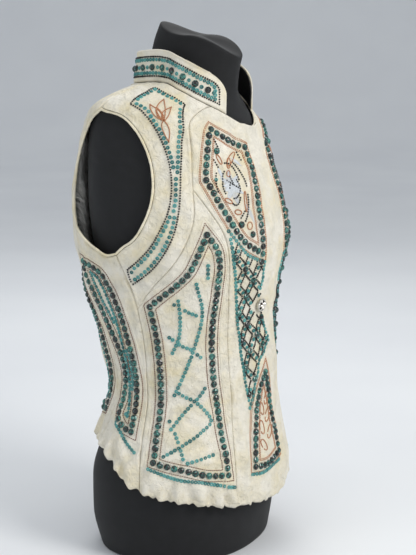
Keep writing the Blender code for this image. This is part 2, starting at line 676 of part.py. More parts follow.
def armhole_bindings():
    loop = chain(*(curve_through(part, SEAM_STEP) for part in (ARMHOLE_FRONT, ARMHOLE_UNDER, ARMHOLE_BACK)))
    for sign, tag in ((1.0, "right"), (-1.0, "left")):
        a, s = (loop * (sign, 1.0)).T
        edge = vest_point(a, s, WALL / 2)
        outward = normals(a, s)
        ahead = np.roll(edge, -1, axis=0) - np.roll(edge, 1, axis=0)
        into = unit(np.cross(outward, ahead))
        if (into * (edge.mean(axis=0) - edge)).sum() < 0:
            into = -into
        path = edge + into * (BINDING_RADIUS + SEAM_GAP)
        points, faces = ring_sweep(path, outward, BINDING_RADIUS, 6)
        add_object("armhole_binding_" + tag, points, outward_faces(points, faces),
                   finish("binding_leather", BINDING_LEATHER))


def stack_faces(rings, n):
    """Triangles of a closed stack of rings of n points, whose bottom and top centres come last."""
    faces = []
    for i in range(rings - 1):
        low, high = i * n, (i + 1) * n
        for j in range(n):
            k = (j + 1) % n
            faces += [[low + j, low + k, high + k], [low + j, high + k, high + j]]
    bottom, top = rings * n, rings * n + 1
    for j in range(n):
        k = (j + 1) % n
        faces += [[bottom, k, j], [top, bottom - n + j, bottom - n + k]]
    return faces


def button():
    """Domed button on the lapped right front, turned round the cloth's normal."""
    a, s = np.array([BUTTON_AT[0]]), np.array([BUTTON_AT[1]])
    foot = vest_point(a, s, LAP_RISE + WALL + BUTTON_GAP)[0]
    axis = normals(a, s)[0]
    side = unit(np.cross(axis, (0.0, 0.0, 1.0)))
    up = np.cross(side, axis)
    dome = [(BUTTON_RADIUS * math.cos(t), BUTTON_RIM + (BUTTON_DOME - BUTTON_RIM) * math.sin(t))
            for t in np.radians((0, 22, 45, 68))]
    profile = [(0.92 * BUTTON_RADIUS, 0.0), (BUTTON_RADIUS, 0.3 * BUTTON_RIM)] + dome
    turns = np.linspace(0, 2 * math.pi, 24, endpoint=False)
    points = [foot + axis * h + r * (math.cos(t) * side + math.sin(t) * up)
              for r, h in profile for t in turns]
    points += [foot, foot + axis * BUTTON_DOME]
    faces = stack_faces(len(profile), len(turns))
    add_object("button", points, outward_faces(points, faces), finish("silver", SILVER))


def dress_form():
    """Closed torso: rings from the flat underside to the slanted top of the neck."""
    a = np.linspace(0, 360, FORM_SECTORS, endpoint=False)
    levels = np.concatenate([np.arange(0.0, 0.60, 0.040), np.arange(0.600, 0.780, 0.020),
                             (0.780, 0.800, 0.825, 0.850, 0.880)])
    grid = np.array([form_point(a, np.full(len(a), s)) for s in levels])
    under = grid[0].mean(axis=0) * (1.0, 1.0, 0.0)
    crown = grid[-1].mean(axis=0) + (0.0, 0.0, 0.004)
    inner = crown + (grid[-1] - crown) * 0.72
    inner[:, 2] += 0.003
    grid = np.concatenate([grid, inner[None]])
    points = np.vstack([grid.reshape(-1, 3), under[None], crown[None]])
    faces = stack_faces(len(grid), len(a))
    add_object("dress_form", points, outward_faces(points, faces), finish("black_jersey", BLACK_JERSEY))


clear_scene()
dress_form()
vest_panels()
collar()
armhole_bindings()
button()
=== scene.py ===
"""Looks of a beaded sheepskin vest, buttoned on a limbless dress form.

Metres, +Z up. The vest faces -Y and the wearer's right side is at -X.

A place on the form or the vest is (a, s): a is in degrees round from the centre front towards the
wearer's right, so 90 is the right side, -90 the left side and 180 the centre back. s runs up the form
from its underside. Curves on the cloth are short tables of such places.
"""

import math
from collections import namedtuple

import bpy
import numpy as np
from mathutils import Matrix, Vector


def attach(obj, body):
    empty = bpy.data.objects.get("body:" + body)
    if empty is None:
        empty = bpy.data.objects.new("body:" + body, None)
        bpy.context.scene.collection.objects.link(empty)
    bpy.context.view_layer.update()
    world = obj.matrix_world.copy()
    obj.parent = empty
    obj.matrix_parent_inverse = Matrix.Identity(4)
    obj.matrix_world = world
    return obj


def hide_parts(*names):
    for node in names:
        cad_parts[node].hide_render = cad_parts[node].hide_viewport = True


bl_info = {
    "name": "Beaded sheepskin vest",
    "version": (1, 0, 0),
    "blender": (4, 5, 0),
    "location": "3D View > Sidebar > Vest",
    "description": "Leather, beads, thread, fleece and stage of a beaded sheepskin vest on a dress form",
    "category": "Object",
}

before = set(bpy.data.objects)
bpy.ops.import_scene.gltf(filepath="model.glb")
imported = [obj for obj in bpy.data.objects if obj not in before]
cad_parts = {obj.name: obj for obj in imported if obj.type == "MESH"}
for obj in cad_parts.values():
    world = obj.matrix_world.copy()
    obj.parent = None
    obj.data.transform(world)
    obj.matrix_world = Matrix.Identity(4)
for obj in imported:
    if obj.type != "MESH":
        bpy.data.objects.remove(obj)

BODY = "root"
MM = 0.001

# Leather: its wall, seams and lap, the hem's ripple, and how far the yoke's mesh rows lean
CLOTH_WALL = 2 * MM
SEAM_GAP = 0.3 * MM
LAP_RISE = 3.7 * MM
LAP_FROM, LAP_FULL = 19.0, 14.0
LAP_MARGIN = 1.8
HEM_WAVES = 36
HEM_UNEVEN = 0.8
HEM_RIPPLE = 4 * MM
RIPPLE_REACH = 36 * MM
FRONT_CALM = 0.25
YOKE_LEAN = 1.3

# Creases: their height over the table's, the trough beside each, and the slow lumps between them
CREASE_LIFT = 1.5
TROUGH_SHARE = 0.45
TROUGH_AT = 1.7
TROUGH_LIMIT = 0.9 * MM
LUMP_HEIGHT = 0.55 * MM

# Tucks, a cord's width of leather round each row of large beads
TUCK_OFFSET = 11.2 * MM
TUCK_RADIUS = 0.9 * MM
TUCK_SINK = 0.2 * MM

# Stand collar, its lining and the studs along it
COLLAR_HEIGHT = 47 * MM
COLLAR_END = 34.0
COLLAR_CORNER = 20 * MM
COLLAR_DEGREE = 1.4 * MM
LEAN_BACK = 0.15
LEAN_FRONT = -0.06
LINING_WALL = 1.2 * MM
LINING_RISE = 4 * MM
LINING_INSET = 1 * MM
STUDS_FROM = 49.0
STUD_PITCH = 20.2 * MM
STUD_LEVEL = 0.45

# Framed rows on the collar: how far in from its ends, foot and top, with their corners and pitch
CollarRow = namedtuple("CollarRow", "edge low top corner pitch")
COLLAR_SEEDS = CollarRow(9.3 * MM, 8.5 * MM, 10.5 * MM, 9 * MM, 3.5 * MM)
COLLAR_RINGS = CollarRow(13.7 * MM, 12.9 * MM, 14.9 * MM, 5 * MM, 5.9 * MM)

# Armhole binding and button
BINDING_RADIUS = 1.8 * MM
BUTTON_RADIUS = 10 * MM
BUTTON_DOME = 8.5 * MM
BUTTON_AT = (12.5, 0.381)
BUTTON_GAP = 0.8 * MM
BUTTON_CLEAR = 15 * MM

# Beads and rings: pitches along their rows, and the distances that they keep
BEAD_PITCH = 10.4 * MM
BEAD_TILT = 0.10
PEARL_OFFSET = 4.6 * MM
SEED_PITCH = 3.6 * MM
BAND_INSET = 4.3 * MM
BAND_CLEAR = 4.0 * MM
BAND_SEED_PITCH = 3.7 * MM
BAND_SEED_GAP = 2.5 * MM
BAND_RING_PITCH = 7.1 * MM
BAND_RING_GAP = 5.4 * MM
BAND_NARROW = (0.534, 0.586)
RIM_PITCH = 6.1 * MM
RIM_GAP = 4.5 * MM
RIM_TO_BEAD = 3.0 * MM
RIM_TO_RING = 4.4 * MM
RIM_TO_SEED = 2.8 * MM
STRAND_PITCH = 6.3 * MM
STRAND_GAP = 4.4 * MM
SHORT_PITCH = 5.0 * MM
LEAF_INSET = 11.5 * MM
LEAF_PITCH = 5.8 * MM
BACK_INSET = 16 * MM
BACK_PITCH = 6.4 * MM

# Stitches: how far beside the bead rows, how far apart and how long
SINGLE_STITCH = (7.6 * MM,)
DOUBLE_STITCH = (7.4 * MM, 9.3 * MM)
STITCH_PITCH = 3.2 * MM
STITCH_LENGTH = 3.0 * MM
COPPER_PITCH = 2.2 * MM
COPPER_LENGTH = 2.6 * MM

# Wool locks: how many hang on the back's inside and under the arm, and between which degrees
LOCKS_BACK = 1300
LOCKS_UNDER = 400
LOCKS_FROM, LOCKS_SPLIT, LOCKS_TO = 100, 139, 176

# Form: its mesh, and the fold and the upright seam of the jersey below the shoulder
FORM_SIDES = 200
FORM_ROWS = 201
FOLD_AT = 0.608
FOLD_WIDE = 0.0030
JERSEY_SEAM = ((0.551, 92.0), (0.608, 89.0), (0.649, 88.3))

# Floor, with its rim bent up into the backdrop
FLOOR_REACH = 6.5
FLOOR_BEND = 2.5
FLOOR_DROP = 0.5 * MM
FLOOR_SIDES = 48
BACKDROP_TOP = 7.0

# Length of one degree round the body, as each kind of work takes it where it lies
PATH_DEGREE = 2.35 * MM
CREASE_DEGREE = 2.4 * MM
TRELLIS_DEGREE = 2.4 * MM
ORNAMENT_DEGREE = 2.45 * MM
PETAL_DEGREE = 2.3 * MM
FORM_DEGREE = 2.3 * MM

# The photo's camera: its turn about the form, its place, its tilt down and its focal length in pixels
VIEW_TURN = -66.0
CAMERA_BACK = 2.2
CAMERA_HEIGHT = 0.78
CAMERA_ASIDE = 0.0347
CAMERA_TILT = 9.75
FOCAL_PIXELS = 1460
PHOTO_HEIGHT = 555
SENSOR_WIDTH = 36.0

# The form's rings and the vest's ease, as the solids have them
Ring = namedtuple("Ring", "name s z_front z_side z_back half_width y_front y_side y_back power")
RINGS = (
    Ring("base", 0.000, 0.000, 0.000, 0.000, 0.151, -0.119, 0.003, 0.118, 2.3),
    Ring("low_hip", 0.055, 0.055, 0.055, 0.055, 0.165, -0.125, 0.002, 0.129, 2.3),
    Ring("hip", 0.110, 0.110, 0.110, 0.110, 0.168, -0.125, 0.002, 0.128, 2.3),
    Ring("high_hip", 0.180, 0.180, 0.180, 0.180, 0.152, -0.118, 0.000, 0.108, 2.3),
    Ring("waist", 0.250, 0.250, 0.250, 0.250, 0.126, -0.108, -0.004, 0.090, 2.2),
    Ring("low_rib", 0.330, 0.330, 0.330, 0.330, 0.128, -0.112, 0.000, 0.100, 2.2),
    Ring("under_bust", 0.400, 0.400, 0.400, 0.400, 0.138, -0.122, 0.006, 0.115, 2.2),
    Ring("bust", 0.470, 0.470, 0.460, 0.470, 0.150, -0.136, 0.014, 0.126, 2.3),
    Ring("armpit", 0.530, 0.530, 0.515, 0.530, 0.154, -0.130, 0.024, 0.128, 2.4),
    Ring("mid_armhole", 0.600, 0.580, 0.585, 0.590, 0.156, -0.116, 0.036, 0.124, 2.4),
    Ring("shoulder_tip", 0.680, 0.610, 0.662, 0.645, 0.156, -0.108, 0.046, 0.114, 2.2),
    Ring("mid_shoulder", 0.730, 0.628, 0.688, 0.675, 0.112, -0.104, 0.022, 0.092, 2.0),
    Ring("neck_base", 0.780, 0.640, 0.698, 0.699, 0.068, -0.101, -0.012, 0.067, 2.0),
    Ring("neck_low", 0.820, 0.680, 0.730, 0.735, 0.056, -0.082, -0.014, 0.052, 2.0),
    Ring("neck_mid", 0.850, 0.708, 0.752, 0.763, 0.053, -0.084, -0.020, 0.045, 2.0),
    Ring("neck_top", 0.880, 0.735, 0.766, 0.787, 0.051, -0.090, -0.026, 0.036, 2.0),
)
BUST_AT = (27.0, 0.470)
BUST_SPREAD = (19.0, 0.050)
BUST_OUT = 0.005
Ease = namedtuple("Ease", "s front side back")
EASE = (
    Ease(0.000, 0.0220, 0.0075, 0.0120),
    Ease(0.100, 0.0220, 0.0075, 0.0120),
    Ease(0.180, 0.0190, 0.0070, 0.0080),
    Ease(0.250, 0.0250, 0.0130, 0.0160),
    Ease(0.330, 0.0190, 0.0130, 0.0260),
    Ease(0.400, 0.0150, 0.0130, 0.0300),
    Ease(0.470, 0.0075, 0.0130, 0.0290),
    Ease(0.530, 0.0060, 0.0100, 0.0270),
    Ease(0.600, 0.0050, 0.0070, 0.0200),
    Ease(0.680, 0.0034, 0.0034, 0.0080),
    Ease(0.730, 0.0026, 0.0026, 0.0030),
    Ease(0.780, 0.0035, 0.0035, 0.0035),
)
HEM_LEVEL = ((0, 0.078), (30, 0.087), (60, 0.100), (80, 0.107), (92, 0.118), (108, 0.146), (135, 0.166),
             (180, 0.174))
NECK_LEVEL = ((0, 0.762), (34, 0.758), (56, 0.749), (72, 0.753), (88, 0.764), (107, 0.772), (135, 0.768),
              (180, 0.765))

# Seams of the right half, from the top down: (degrees, s), with None for the neckline or the hem. The left
# half mirrors them
YOKE_TOP_SEAM = ((47.0, None), (48.0, 0.700), (50.0, 0.620), (53.0, 0.565))
YOKE_LOW_SEAM = ((53.0, 0.565), (56.5, 0.515), (61.0, 0.490), (66.5, 0.466), (73.0, 0.443), (80.0, 0.420),
                 (91.0, 0.380))
UNDERARM_SEAM = ((96.5, 0.469), (93.0, 0.425), (91.0, 0.380))
SIDE_SEAM = ((91.0, 0.380), (90.0, 0.318), (90.0, 0.258), (89.0, 0.185), (87.5, None))
PRINCESS_SEAM = ((53.0, 0.565), (46.5, 0.530), (41.0, 0.498), (38.0, 0.450), (36.0, 0.380), (35.5, 0.320),
                 (33.0, 0.240), (30.5, 0.180), (30.0, None))
BACK_SEAM = ((137.0, 0.497), (136.0, 0.440), (132.5, 0.400), (129.0, 0.368), (124.0, 0.337), (120.0, 0.310),
             (117.5, 0.265), (119.5, 0.230), (122.0, 0.190), (124.0, None))
SHOULDER_SEAM = ((101.0, None), (99.0, 0.730), (97.0, 0.685))
ARMHOLE_FRONT = ((97.0, 0.685), (84.0, 0.676), (77.5, 0.655), (73.7, 0.630), (72.0, 0.600), (73.0, 0.570),
                 (76.0, 0.545), (80.5, 0.520), (87.0, 0.492), (96.5, 0.469))
ARMHOLE_UNDER = ((96.5, 0.469), (104.0, 0.465), (113.0, 0.473), (124.0, 0.484), (137.0, 0.497))
ARMHOLE_BACK = ((137.0, 0.497), (141.0, 0.525), (141.0, 0.555), (137.5, 0.590), (130.0, 0.622),
                (119.0, 0.652), (107.0, 0.675), (97.0, 0.685))

# Front edges from the top down. The right front laps over the left one
RIGHT_EDGE = ((-14.0, 0.7615), (-11.0, 0.700), (-6.0, 0.620), (-3.5, 0.560), (-2.0, 0.490), (-2.0, 0.420),
              (-3.5, 0.370), (-8.5, 0.335), (-14.0, 0.295), (-18.5, 0.245), (-21.5, 0.190), (-23.0, 0.145),
              (-21.0, 0.112), (-15.0, 0.092), (-7.0, None))
LEFT_EDGE = ((8.0, 0.762), (7.5, 0.600), (7.5, 0.400), (7.5, 0.200), (7.5, 0.120), (4.0, 0.090),
             (-4.0, None))

# Degrees at which the seams reach the neckline and the hem
YOKE_HEAD, SHOULDER_HEAD = YOKE_TOP_SEAM[0][0], SHOULDER_SEAM[0][0]
PRINCESS_FOOT, SIDE_FOOT, BACK_FOOT = PRINCESS_SEAM[-1][0], SIDE_SEAM[-1][0], BACK_SEAM[-1][0]

# Closed rows of large beads on the right half
DIAMOND = (
    ((36.0, 0.692), (25.0, 0.680), (13.5, 0.660)),
    ((13.5, 0.660), (12.0, 0.600), (13.0, 0.550), (15.0, 0.505), (15.5, 0.458)),
    ((15.5, 0.458), (28.0, 0.477), (37.0, 0.520), (44.5, 0.578)),
    ((44.5, 0.578), (40.0, 0.635), (36.0, 0.692)),
)
WEDGE = (
    ((5.0, 0.272), (11.0, 0.248), (13.0, 0.220), (14.5, 0.185), (16.0, 0.150), (16.5, 0.134)),
    ((16.5, 0.134), (6.0, 0.132), (-3.0, 0.140)),
    ((-3.0, 0.140), (-3.0, 0.160), (-1.0, 0.193), (1.0, 0.230), (5.0, 0.272)),
)
HOURGLASS = (
    ((50.0, 0.497), (45.5, 0.476), (44.0, 0.455), (44.0, 0.413), (46.0, 0.370), (47.0, 0.330),
     (46.5, 0.290), (43.5, 0.235), (40.0, 0.200), (37.0, 0.168), (35.5, 0.133)),
    ((35.5, 0.133), (47.0, 0.136), (60.0, 0.144), (72.0, 0.150), (80.5, 0.155)),
    ((80.5, 0.155), (80.5, 0.200), (81.0, 0.240), (81.0, 0.290), (82.0, 0.335), (84.0, 0.385)),
    ((84.0, 0.385), (76.0, 0.402), (68.0, 0.421), (61.0, 0.442), (56.0, 0.468), (50.0, 0.497)),
)
LEAF = (
    ((131.0, 0.449), (122.0, 0.446), (113.0, 0.436), (109.5, 0.415), (106.0, 0.385), (103.0, 0.350),
     (100.0, 0.312), (97.5, 0.270), (97.5, 0.235), (96.0, 0.192)),
    ((96.0, 0.192), (104.0, 0.197), (110.5, 0.209), (110.0, 0.235), (107.5, 0.270), (108.5, 0.298),
     (113.0, 0.325), (119.0, 0.355), (124.0, 0.385), (128.5, 0.415), (131.0, 0.449)),
)
BACK_PANEL = (
    ((180.0, 0.452), (162.0, 0.425), (147.0, 0.395), (138.0, 0.370), (133.0, 0.345), (129.0, 0.320),
     (126.5, 0.295), (126.0, 0.270), (128.5, 0.245), (130.5, 0.210)),
    ((130.5, 0.210), (148.0, 0.206), (180.0, 0.204)),
)

BACK_ROW = BACK_PANEL + tuple(tuple((360.0 - a, s) for a, s in side[::-1]) for side in BACK_PANEL[::-1])

# Band of dots round the armhole with its shield on the shoulder, and the single row where it is narrow
BAND_OUTER = ((81.5, 0.738), (57.0, 0.722), (51.7, 0.681), (54.4, 0.641), (56.9, 0.604), (59.6, 0.569),
              (63.0, 0.534), (67.1, 0.503), (72.3, 0.477), (79.3, 0.451), (90.8, 0.421))
BAND_INNER = ((80.3, 0.693), (72.3, 0.683), (67.6, 0.660), (64.9, 0.637), (63.4, 0.614), (63.1, 0.589),
              (64.6, 0.565), (68.6, 0.534), (73.6, 0.510), (79.8, 0.483), (91.5, 0.447))
BAND_MIDDLE = ((60.9, 0.583), (62.1, 0.567), (63.4, 0.552), (65.4, 0.537))

# Trellis beside the front edge: its outline, and the corners of its mesh
TRELLIS_TOP = ((37.5, 0.497), (34.5, 0.485), (31.3, 0.4725), (26.8, 0.461), (20.6, 0.453), (12.6, 0.446))
TRELLIS_FRONT = ((12.6, 0.446), (12.8, 0.432), (12.7, 0.421), (13.6, 0.407))
TRELLIS_LOW = ((7.9, 0.356), (5.1, 0.339), (3.1, 0.323), (4.1, 0.306), (11.3, 0.291), (12.8, 0.274),
               (15.1, 0.260), (16.1, 0.238), (17.8, 0.218))
TRELLIS_SIDE = ((17.8, 0.218), (21.8, 0.256), (24.0, 0.283), (26.3, 0.3125), (27.8, 0.334), (29.5, 0.369),
                (31.0, 0.395), (32.3, 0.418), (34.2, 0.439), (35.7, 0.454), (37.5, 0.497))
TRELLIS = (TRELLIS_TOP, TRELLIS_FRONT, TRELLIS_LOW, TRELLIS_SIDE)
MESH_CORNER = (34.5, 0.4595)
MESH_DOWN = (-7.2, -0.0185)
MESH_OVER = (4.2, -0.0250)
MESH_BAND = 4.5 * MM

# Short rows of rings below the bead rows
UNDER_HOURGLASS = ((83.0, 0.146), (73.8, 0.139), (64.6, 0.133), (53.2, 0.129), (43.2, 0.123), (31.5, 0.115))
UNDER_WEDGE = ((19.3, 0.125), (12.3, 0.123), (5.1, 0.125), (-2.1, 0.128))
UNDER_LEAF = ((112.0, 0.200), (105.2, 0.191), (99.2, 0.180), (92.0, 0.166))

# Strands of rings inside the hourglass: two uprights and zigzags that cross them
STRANDS = (
    ((56.5, 0.424), (53.0, 0.373), (56.5, 0.337), (65.0, 0.286), (72.0, 0.253)),
    ((67.0, 0.396), (66.5, 0.367), (68.5, 0.335), (72.5, 0.316)),
    ((69.5, 0.390), (61.5, 0.379), (54.5, 0.371)),
    ((74.0, 0.340), (66.5, 0.327), (59.5, 0.320), (54.5, 0.310)),
    ((69.0, 0.256), (58.5, 0.241), (52.5, 0.227), (46.5, 0.207), (52.0, 0.196), (65.0, 0.178), (75.0, 0.164)),
    ((52.0, 0.263), (58.5, 0.240), (66.0, 0.218), (72.0, 0.200)),
    ((73.5, 0.210), (69.0, 0.194), (65.5, 0.178), (63.0, 0.161)),
    ((60.0, 0.155), (44.5, 0.164)),
    ((50.5, 0.453), (50.2, 0.434)),
)

# Generic ornament of the chest diamond. Arcs of dots: half width, half height, start and stop in degrees
MEDALLION_AT = (29.0, 0.562)
BLACK_ARCS = (
    (0.0245, 0.056, 118, 184),
    (0.0160, 0.048, 82, 168),
    (0.0245, 0.060, 198, 250),
    (0.0128, 0.020, 150, 276),
    (0.0120, 0.031, 222, 296),
    (0.0140, 0.032, 18, 64),
    (0.0152, 0.022, -26, 16),
    (0.0245, 0.045, -6, 36),
)

# Straight rows of dots, from place to place
BLACK_LINES = (
    ((24.0, 0.556), (31.5, 0.573)),
    ((27.4, 0.564), (28.6, 0.579)),
    ((29.6, 0.569), (31.0, 0.560)),
    ((34.2, 0.668), (32.4, 0.644)),
    ((37.0, 0.616), (35.0, 0.601)),
    ((19.2, 0.641), (17.2, 0.617)),
    ((24.5, 0.519), (28.0, 0.511)),
)

# Copper loops: way from their origin in degrees and metres, half width, half height, lean in degrees
LOOPS_AT = (29.0, 0.560)
COPPER_LOOPS = (
    (0.0, 0.026, 0.0028, 0.0065, 15),
    (4.6, -0.020, 0.0030, 0.0065, -50),
    (0.0, -0.040, 0.0055, 0.0035, 20),
    (-5.8, -0.062, 0.0042, 0.0050, 20),
    (-6.6, -0.026, 0.0020, 0.0160, 8),
    (-4.5, 0.062, 0.0042, 0.0210, 24),
    (-2.0, 0.050, 0.0030, 0.0130, 10),
    (4.2, 0.058, 0.0030, 0.0110, -12),
)

# Petals of white satin stitch: foot, lean in degrees, length, half width
SATIN_PETALS = tuple((MEDALLION_AT, lean, length, wide) for lean, length, wide in (
    (90, 0.034, 0.0060),
    (52, 0.024, 0.0055),
    (14, 0.015, 0.0050),
    (-24, 0.015, 0.0050),
    (-62, 0.024, 0.0055),
    (-96, 0.032, 0.0060),
    (-134, 0.022, 0.0055),
    (128, 0.024, 0.0055),
    (166, 0.015, 0.0050),
    (204, 0.015, 0.0050),
)) + (
    ((22.5, 0.530), 256, 0.032, 0.0040),
    ((24.0, 0.625), 240, 0.030, 0.0035),
    ((35.0, 0.600), 262, 0.024, 0.0030),
)
ORNAMENT_RINGS = ((38.3, 0.577),)
ORNAMENT_BEADS = ((34.0, 0.637), (28.8, 0.502), (22.3, 0.486))

# Copper sprig of the shield: lean, length and half width of its petals
SPRIG_AT = (62.0, 0.678)
SPRIG_PETALS = (
    (95, 0.027, 0.0040),
    (70, 0.040, 0.0050),
    (45, 0.030, 0.0045),
    (57, 0.022, 0.0035),
    (268, 0.038, 0.0042),
)

# Copper scrolls of the wedge: place and lean of each open loop, and their half sizes
SCROLL_SIZE = (0.0045, 0.0100)
SCROLLS = (
    ((3.6, 0.226), 10),
    ((8.2, 0.212), -20),
    ((2.8, 0.200), 25),
    ((9.0, 0.186), -15),
    ((2.2, 0.175), 20),
    ((8.6, 0.160), -30),
)

# Soft creases of the leather: place, angle of the run above the horizontal, half length, half width, height
# and bow
Crease = namedtuple("Crease", "a s turn run wide high bow")
CREASES = (
    Crease(30.0, 0.300, 84, 0.120, 0.0045, 0.0016, 0.0),
    Crease(26.0, 0.200, 95, 0.080, 0.0050, 0.0018, 1.0),
    Crease(24.0, 0.130, 80, 0.050, 0.0060, 0.0022, -1.0),
    Crease(8.0, 0.330, 150, 0.050, 0.0060, 0.0016, 2.0),
    Crease(-4.0, 0.300, 130, 0.050, 0.0070, 0.0018, 1.0),
    Crease(20.0, 0.560, 70, 0.045, 0.0080, 0.0010, 2.0),
    Crease(48.0, 0.420, 60, 0.030, 0.0050, -0.0010, 0.0),
    Crease(61.0, 0.380, 40, 0.045, 0.0060, 0.0012, 3.0),
    Crease(66.0, 0.310, 12, 0.040, 0.0055, 0.0013, 4.0),
    Crease(58.0, 0.262, -14, 0.035, 0.0050, 0.0012, -3.0),
    Crease(68.0, 0.215, 22, 0.045, 0.0060, 0.0016, 3.0),
    Crease(55.0, 0.190, -25, 0.035, 0.0055, 0.0016, -4.0),
    Crease(62.0, 0.165, 8, 0.050, 0.0050, 0.0020, 2.0),
    Crease(48.0, 0.156, -12, 0.030, 0.0045, 0.0018, 2.0),
    Crease(66.0, 0.110, 80, 0.030, 0.0070, 0.0035, 4.0),
    Crease(52.0, 0.108, 112, 0.032, 0.0065, 0.0030, -3.0),
    Crease(40.0, 0.102, 70, 0.028, 0.0070, 0.0030, 5.0),
    Crease(33.0, 0.100, 118, 0.030, 0.0050, 0.0034, 4.0),
    Crease(80.0, 0.125, 96, 0.034, 0.0070, 0.0030, -4.0),
    Crease(92.0, 0.150, 60, 0.035, 0.0060, 0.0026, 3.0),
    Crease(101.0, 0.165, 120, 0.040, 0.0070, 0.0030, 3.0),
    Crease(112.0, 0.175, 70, 0.036, 0.0070, 0.0026, -3.0),
    Crease(126.0, 0.190, 100, 0.040, 0.0080, 0.0028, 2.0),
    Crease(91.0, 0.300, 88, 0.110, 0.0050, -0.0014, 0.0),
    Crease(93.0, 0.430, 70, 0.045, 0.0055, 0.0014, 2.0),
    Crease(86.0, 0.440, 110, 0.030, 0.0045, 0.0012, 2.0),
    Crease(100.0, 0.420, 96, 0.055, 0.0060, 0.0014, -1.5),
    Crease(60.0, 0.560, 100, 0.060, 0.0070, 0.0010, 1.0),
    Crease(70.0, 0.490, 140, 0.040, 0.0060, 0.0012, 1.0),
    Crease(49.0, 0.640, 96, 0.080, 0.0060, 0.0010, 0.5),
    Crease(92.0, 0.735, 170, 0.040, 0.0060, 0.0010, 1.0),
    Crease(30.0, 0.735, 160, 0.045, 0.0060, 0.0012, -2.0),
    Crease(18.0, 0.715, 130, 0.035, 0.0055, 0.0010, 2.0),
    Crease(2.0, 0.640, 100, 0.060, 0.0070, 0.0012, -1.0),
    Crease(118.0, 0.260, 95, 0.070, 0.0060, 0.0012, 1.0),
    Crease(130.0, 0.420, 80, 0.050, 0.0070, 0.0016, 2.0),
    Crease(150.0, 0.560, 100, 0.080, 0.0090, 0.0018, 1.0),
    Crease(146.0, 0.480, 120, 0.050, 0.0080, 0.0018, 2.0),
    Crease(168.0, 0.330, 88, 0.100, 0.0080, 0.0016, 0.5),
    Crease(150.0, 0.290, 60, 0.045, 0.0070, 0.0014, 3.0),
    Crease(172.0, 0.500, 94, 0.090, 0.0100, 0.0020, 0.5),
    Crease(140.0, 0.185, 96, 0.032, 0.0070, 0.0026, 3.0),
    Crease(158.0, 0.190, 82, 0.030, 0.0070, 0.0026, -3.0),
    Crease(174.0, 0.195, 104, 0.032, 0.0070, 0.0024, 3.0),
)


def linear(code):
    """sRGB hex colour to linear red, green and blue."""
    c = np.array([int(code[i:i + 2], 16) for i in (1, 3, 5)]) / 255
    return tuple(np.where(c <= 0.04045, c / 12.92, ((c + 0.055) / 1.055) ** 2.4))


def size_prop(name, description, default):
    return bpy.props.FloatProperty(name=name, description=description, default=default, min=0.0,
                                   unit="LENGTH", precision=4)


def colour_prop(name, description, code):
    return bpy.props.FloatVectorProperty(name=name, description=description, default=linear(code),
                                         subtype="COLOR", min=0.0, max=1.0)


class VestSizes(bpy.types.PropertyGroup):
    """Sizes of the cloth and of what is sewn on it."""

    grid_step: size_prop("Grid step", "Spacing of the leather's mesh points", 3.1 * MM)
    bead_radius: size_prop("Bead radius", "Radius of a large pointed bead", 5.2 * MM)
    bead_rise: size_prop("Bead rise", "Height of a large bead over the leather", 5.0 * MM)
    ring_radius: size_prop("Ring radius", "Outer radius of a turquoise ring stud", 3.0 * MM)
    seed_radius: size_prop("Seed radius", "Radius of a black seed bead", 1.5 * MM)
    pearl_radius: size_prop("Pearl radius", "Radius of a small white bead", 1.2 * MM)
    thread_radius: size_prop("Thread radius", "Radius of the embroidery thread", 0.75 * MM)
    lock_length: size_prop("Lock length", "Length of a lock of fleece", 22 * MM)


class VestColours(bpy.types.PropertyGroup):
    """Colours of the leather, beads, threads and form."""

    leather: colour_prop("Leather", "Clean tanned sheepskin", "#EBE5D6")
    leather_stain: colour_prop("Leather stain", "Yellowed patches of the skin", "#E3D5AC")
    leather_shade: colour_prop("Leather shade", "Greyed patches of the skin", "#D3CEBE")
    binding: colour_prop("Binding", "Rolled edge of the armholes", "#F3EAD2")
    lining: colour_prop("Lining", "Dark collar lining", "#1B1A1C")
    bead_dark: colour_prop("Bead dark", "Darkest glass of the large beads", "#14181A")
    bead_brown: colour_prop("Bead brown", "Brown veins of the large beads", "#2E2320")
    bead_teal: colour_prop("Bead teal", "Turquoise of the large beads", "#2F6A62")
    ring: colour_prop("Ring", "Turquoise of the ring studs", "#3B8583")
    ring_light: colour_prop("Ring light", "Light turquoise of the ring studs", "#5DA5A2")
    seed: colour_prop("Seed bead", "Black seed beads", "#0C0C0D")
    pearl: colour_prop("Pearl", "Small white beads", "#F3F0E6")
    copper: colour_prop("Copper thread", "Copper embroidery thread", "#C4875A")
    brown: colour_prop("Brown thread", "Brown outline stitching", "#5E3320")
    silver: colour_prop("Silver", "Worn silver of the button", "#E4E0D6")
    fleece: colour_prop("Fleece", "Undyed wool inside the vest", "#CFCBC2")
    satin: colour_prop("White silk", "Satin stitch of the ornaments", "#DDE1E4")
    jersey: colour_prop("Jersey", "Black jersey of the dress form", "#060709")
    floor: colour_prop("Floor", "Pale studio floor", "#E2E4E7")


def smooth(t, table):
    """Monotone cubic through a table of (t, value) rows."""
    k, v = np.array(table, float).T
    t = np.clip(np.asarray(t, float), k[0], k[-1])
    h = np.diff(k)
    d = np.diff(v) / h
    m = np.zeros_like(v)
    w1 = 2 * h[1:] + h[:-1]
    w2 = h[1:] + 2 * h[:-1]
    same = d[1:] * d[:-1] > 0
    lower = np.where(same, d[:-1], 1.0)
    upper = np.where(same, d[1:], 1.0)
    m[1:-1] = np.where(same, (w1 + w2) / (w1 / lower + w2 / upper), 0.0)
    m[0], m[-1] = d[0], d[-1]
    i = np.clip(np.searchsorted(k, t, side="right") - 1, 0, len(h) - 1)
    x = (t - k[i]) / h[i]
    return ((1 + 2 * x) * (1 - x) ** 2 * v[i] + x * (1 - x) ** 2 * h[i] * m[i]
            + x * x * (3 - 2 * x) * v[i + 1] + x * x * (x - 1) * h[i] * m[i + 1])


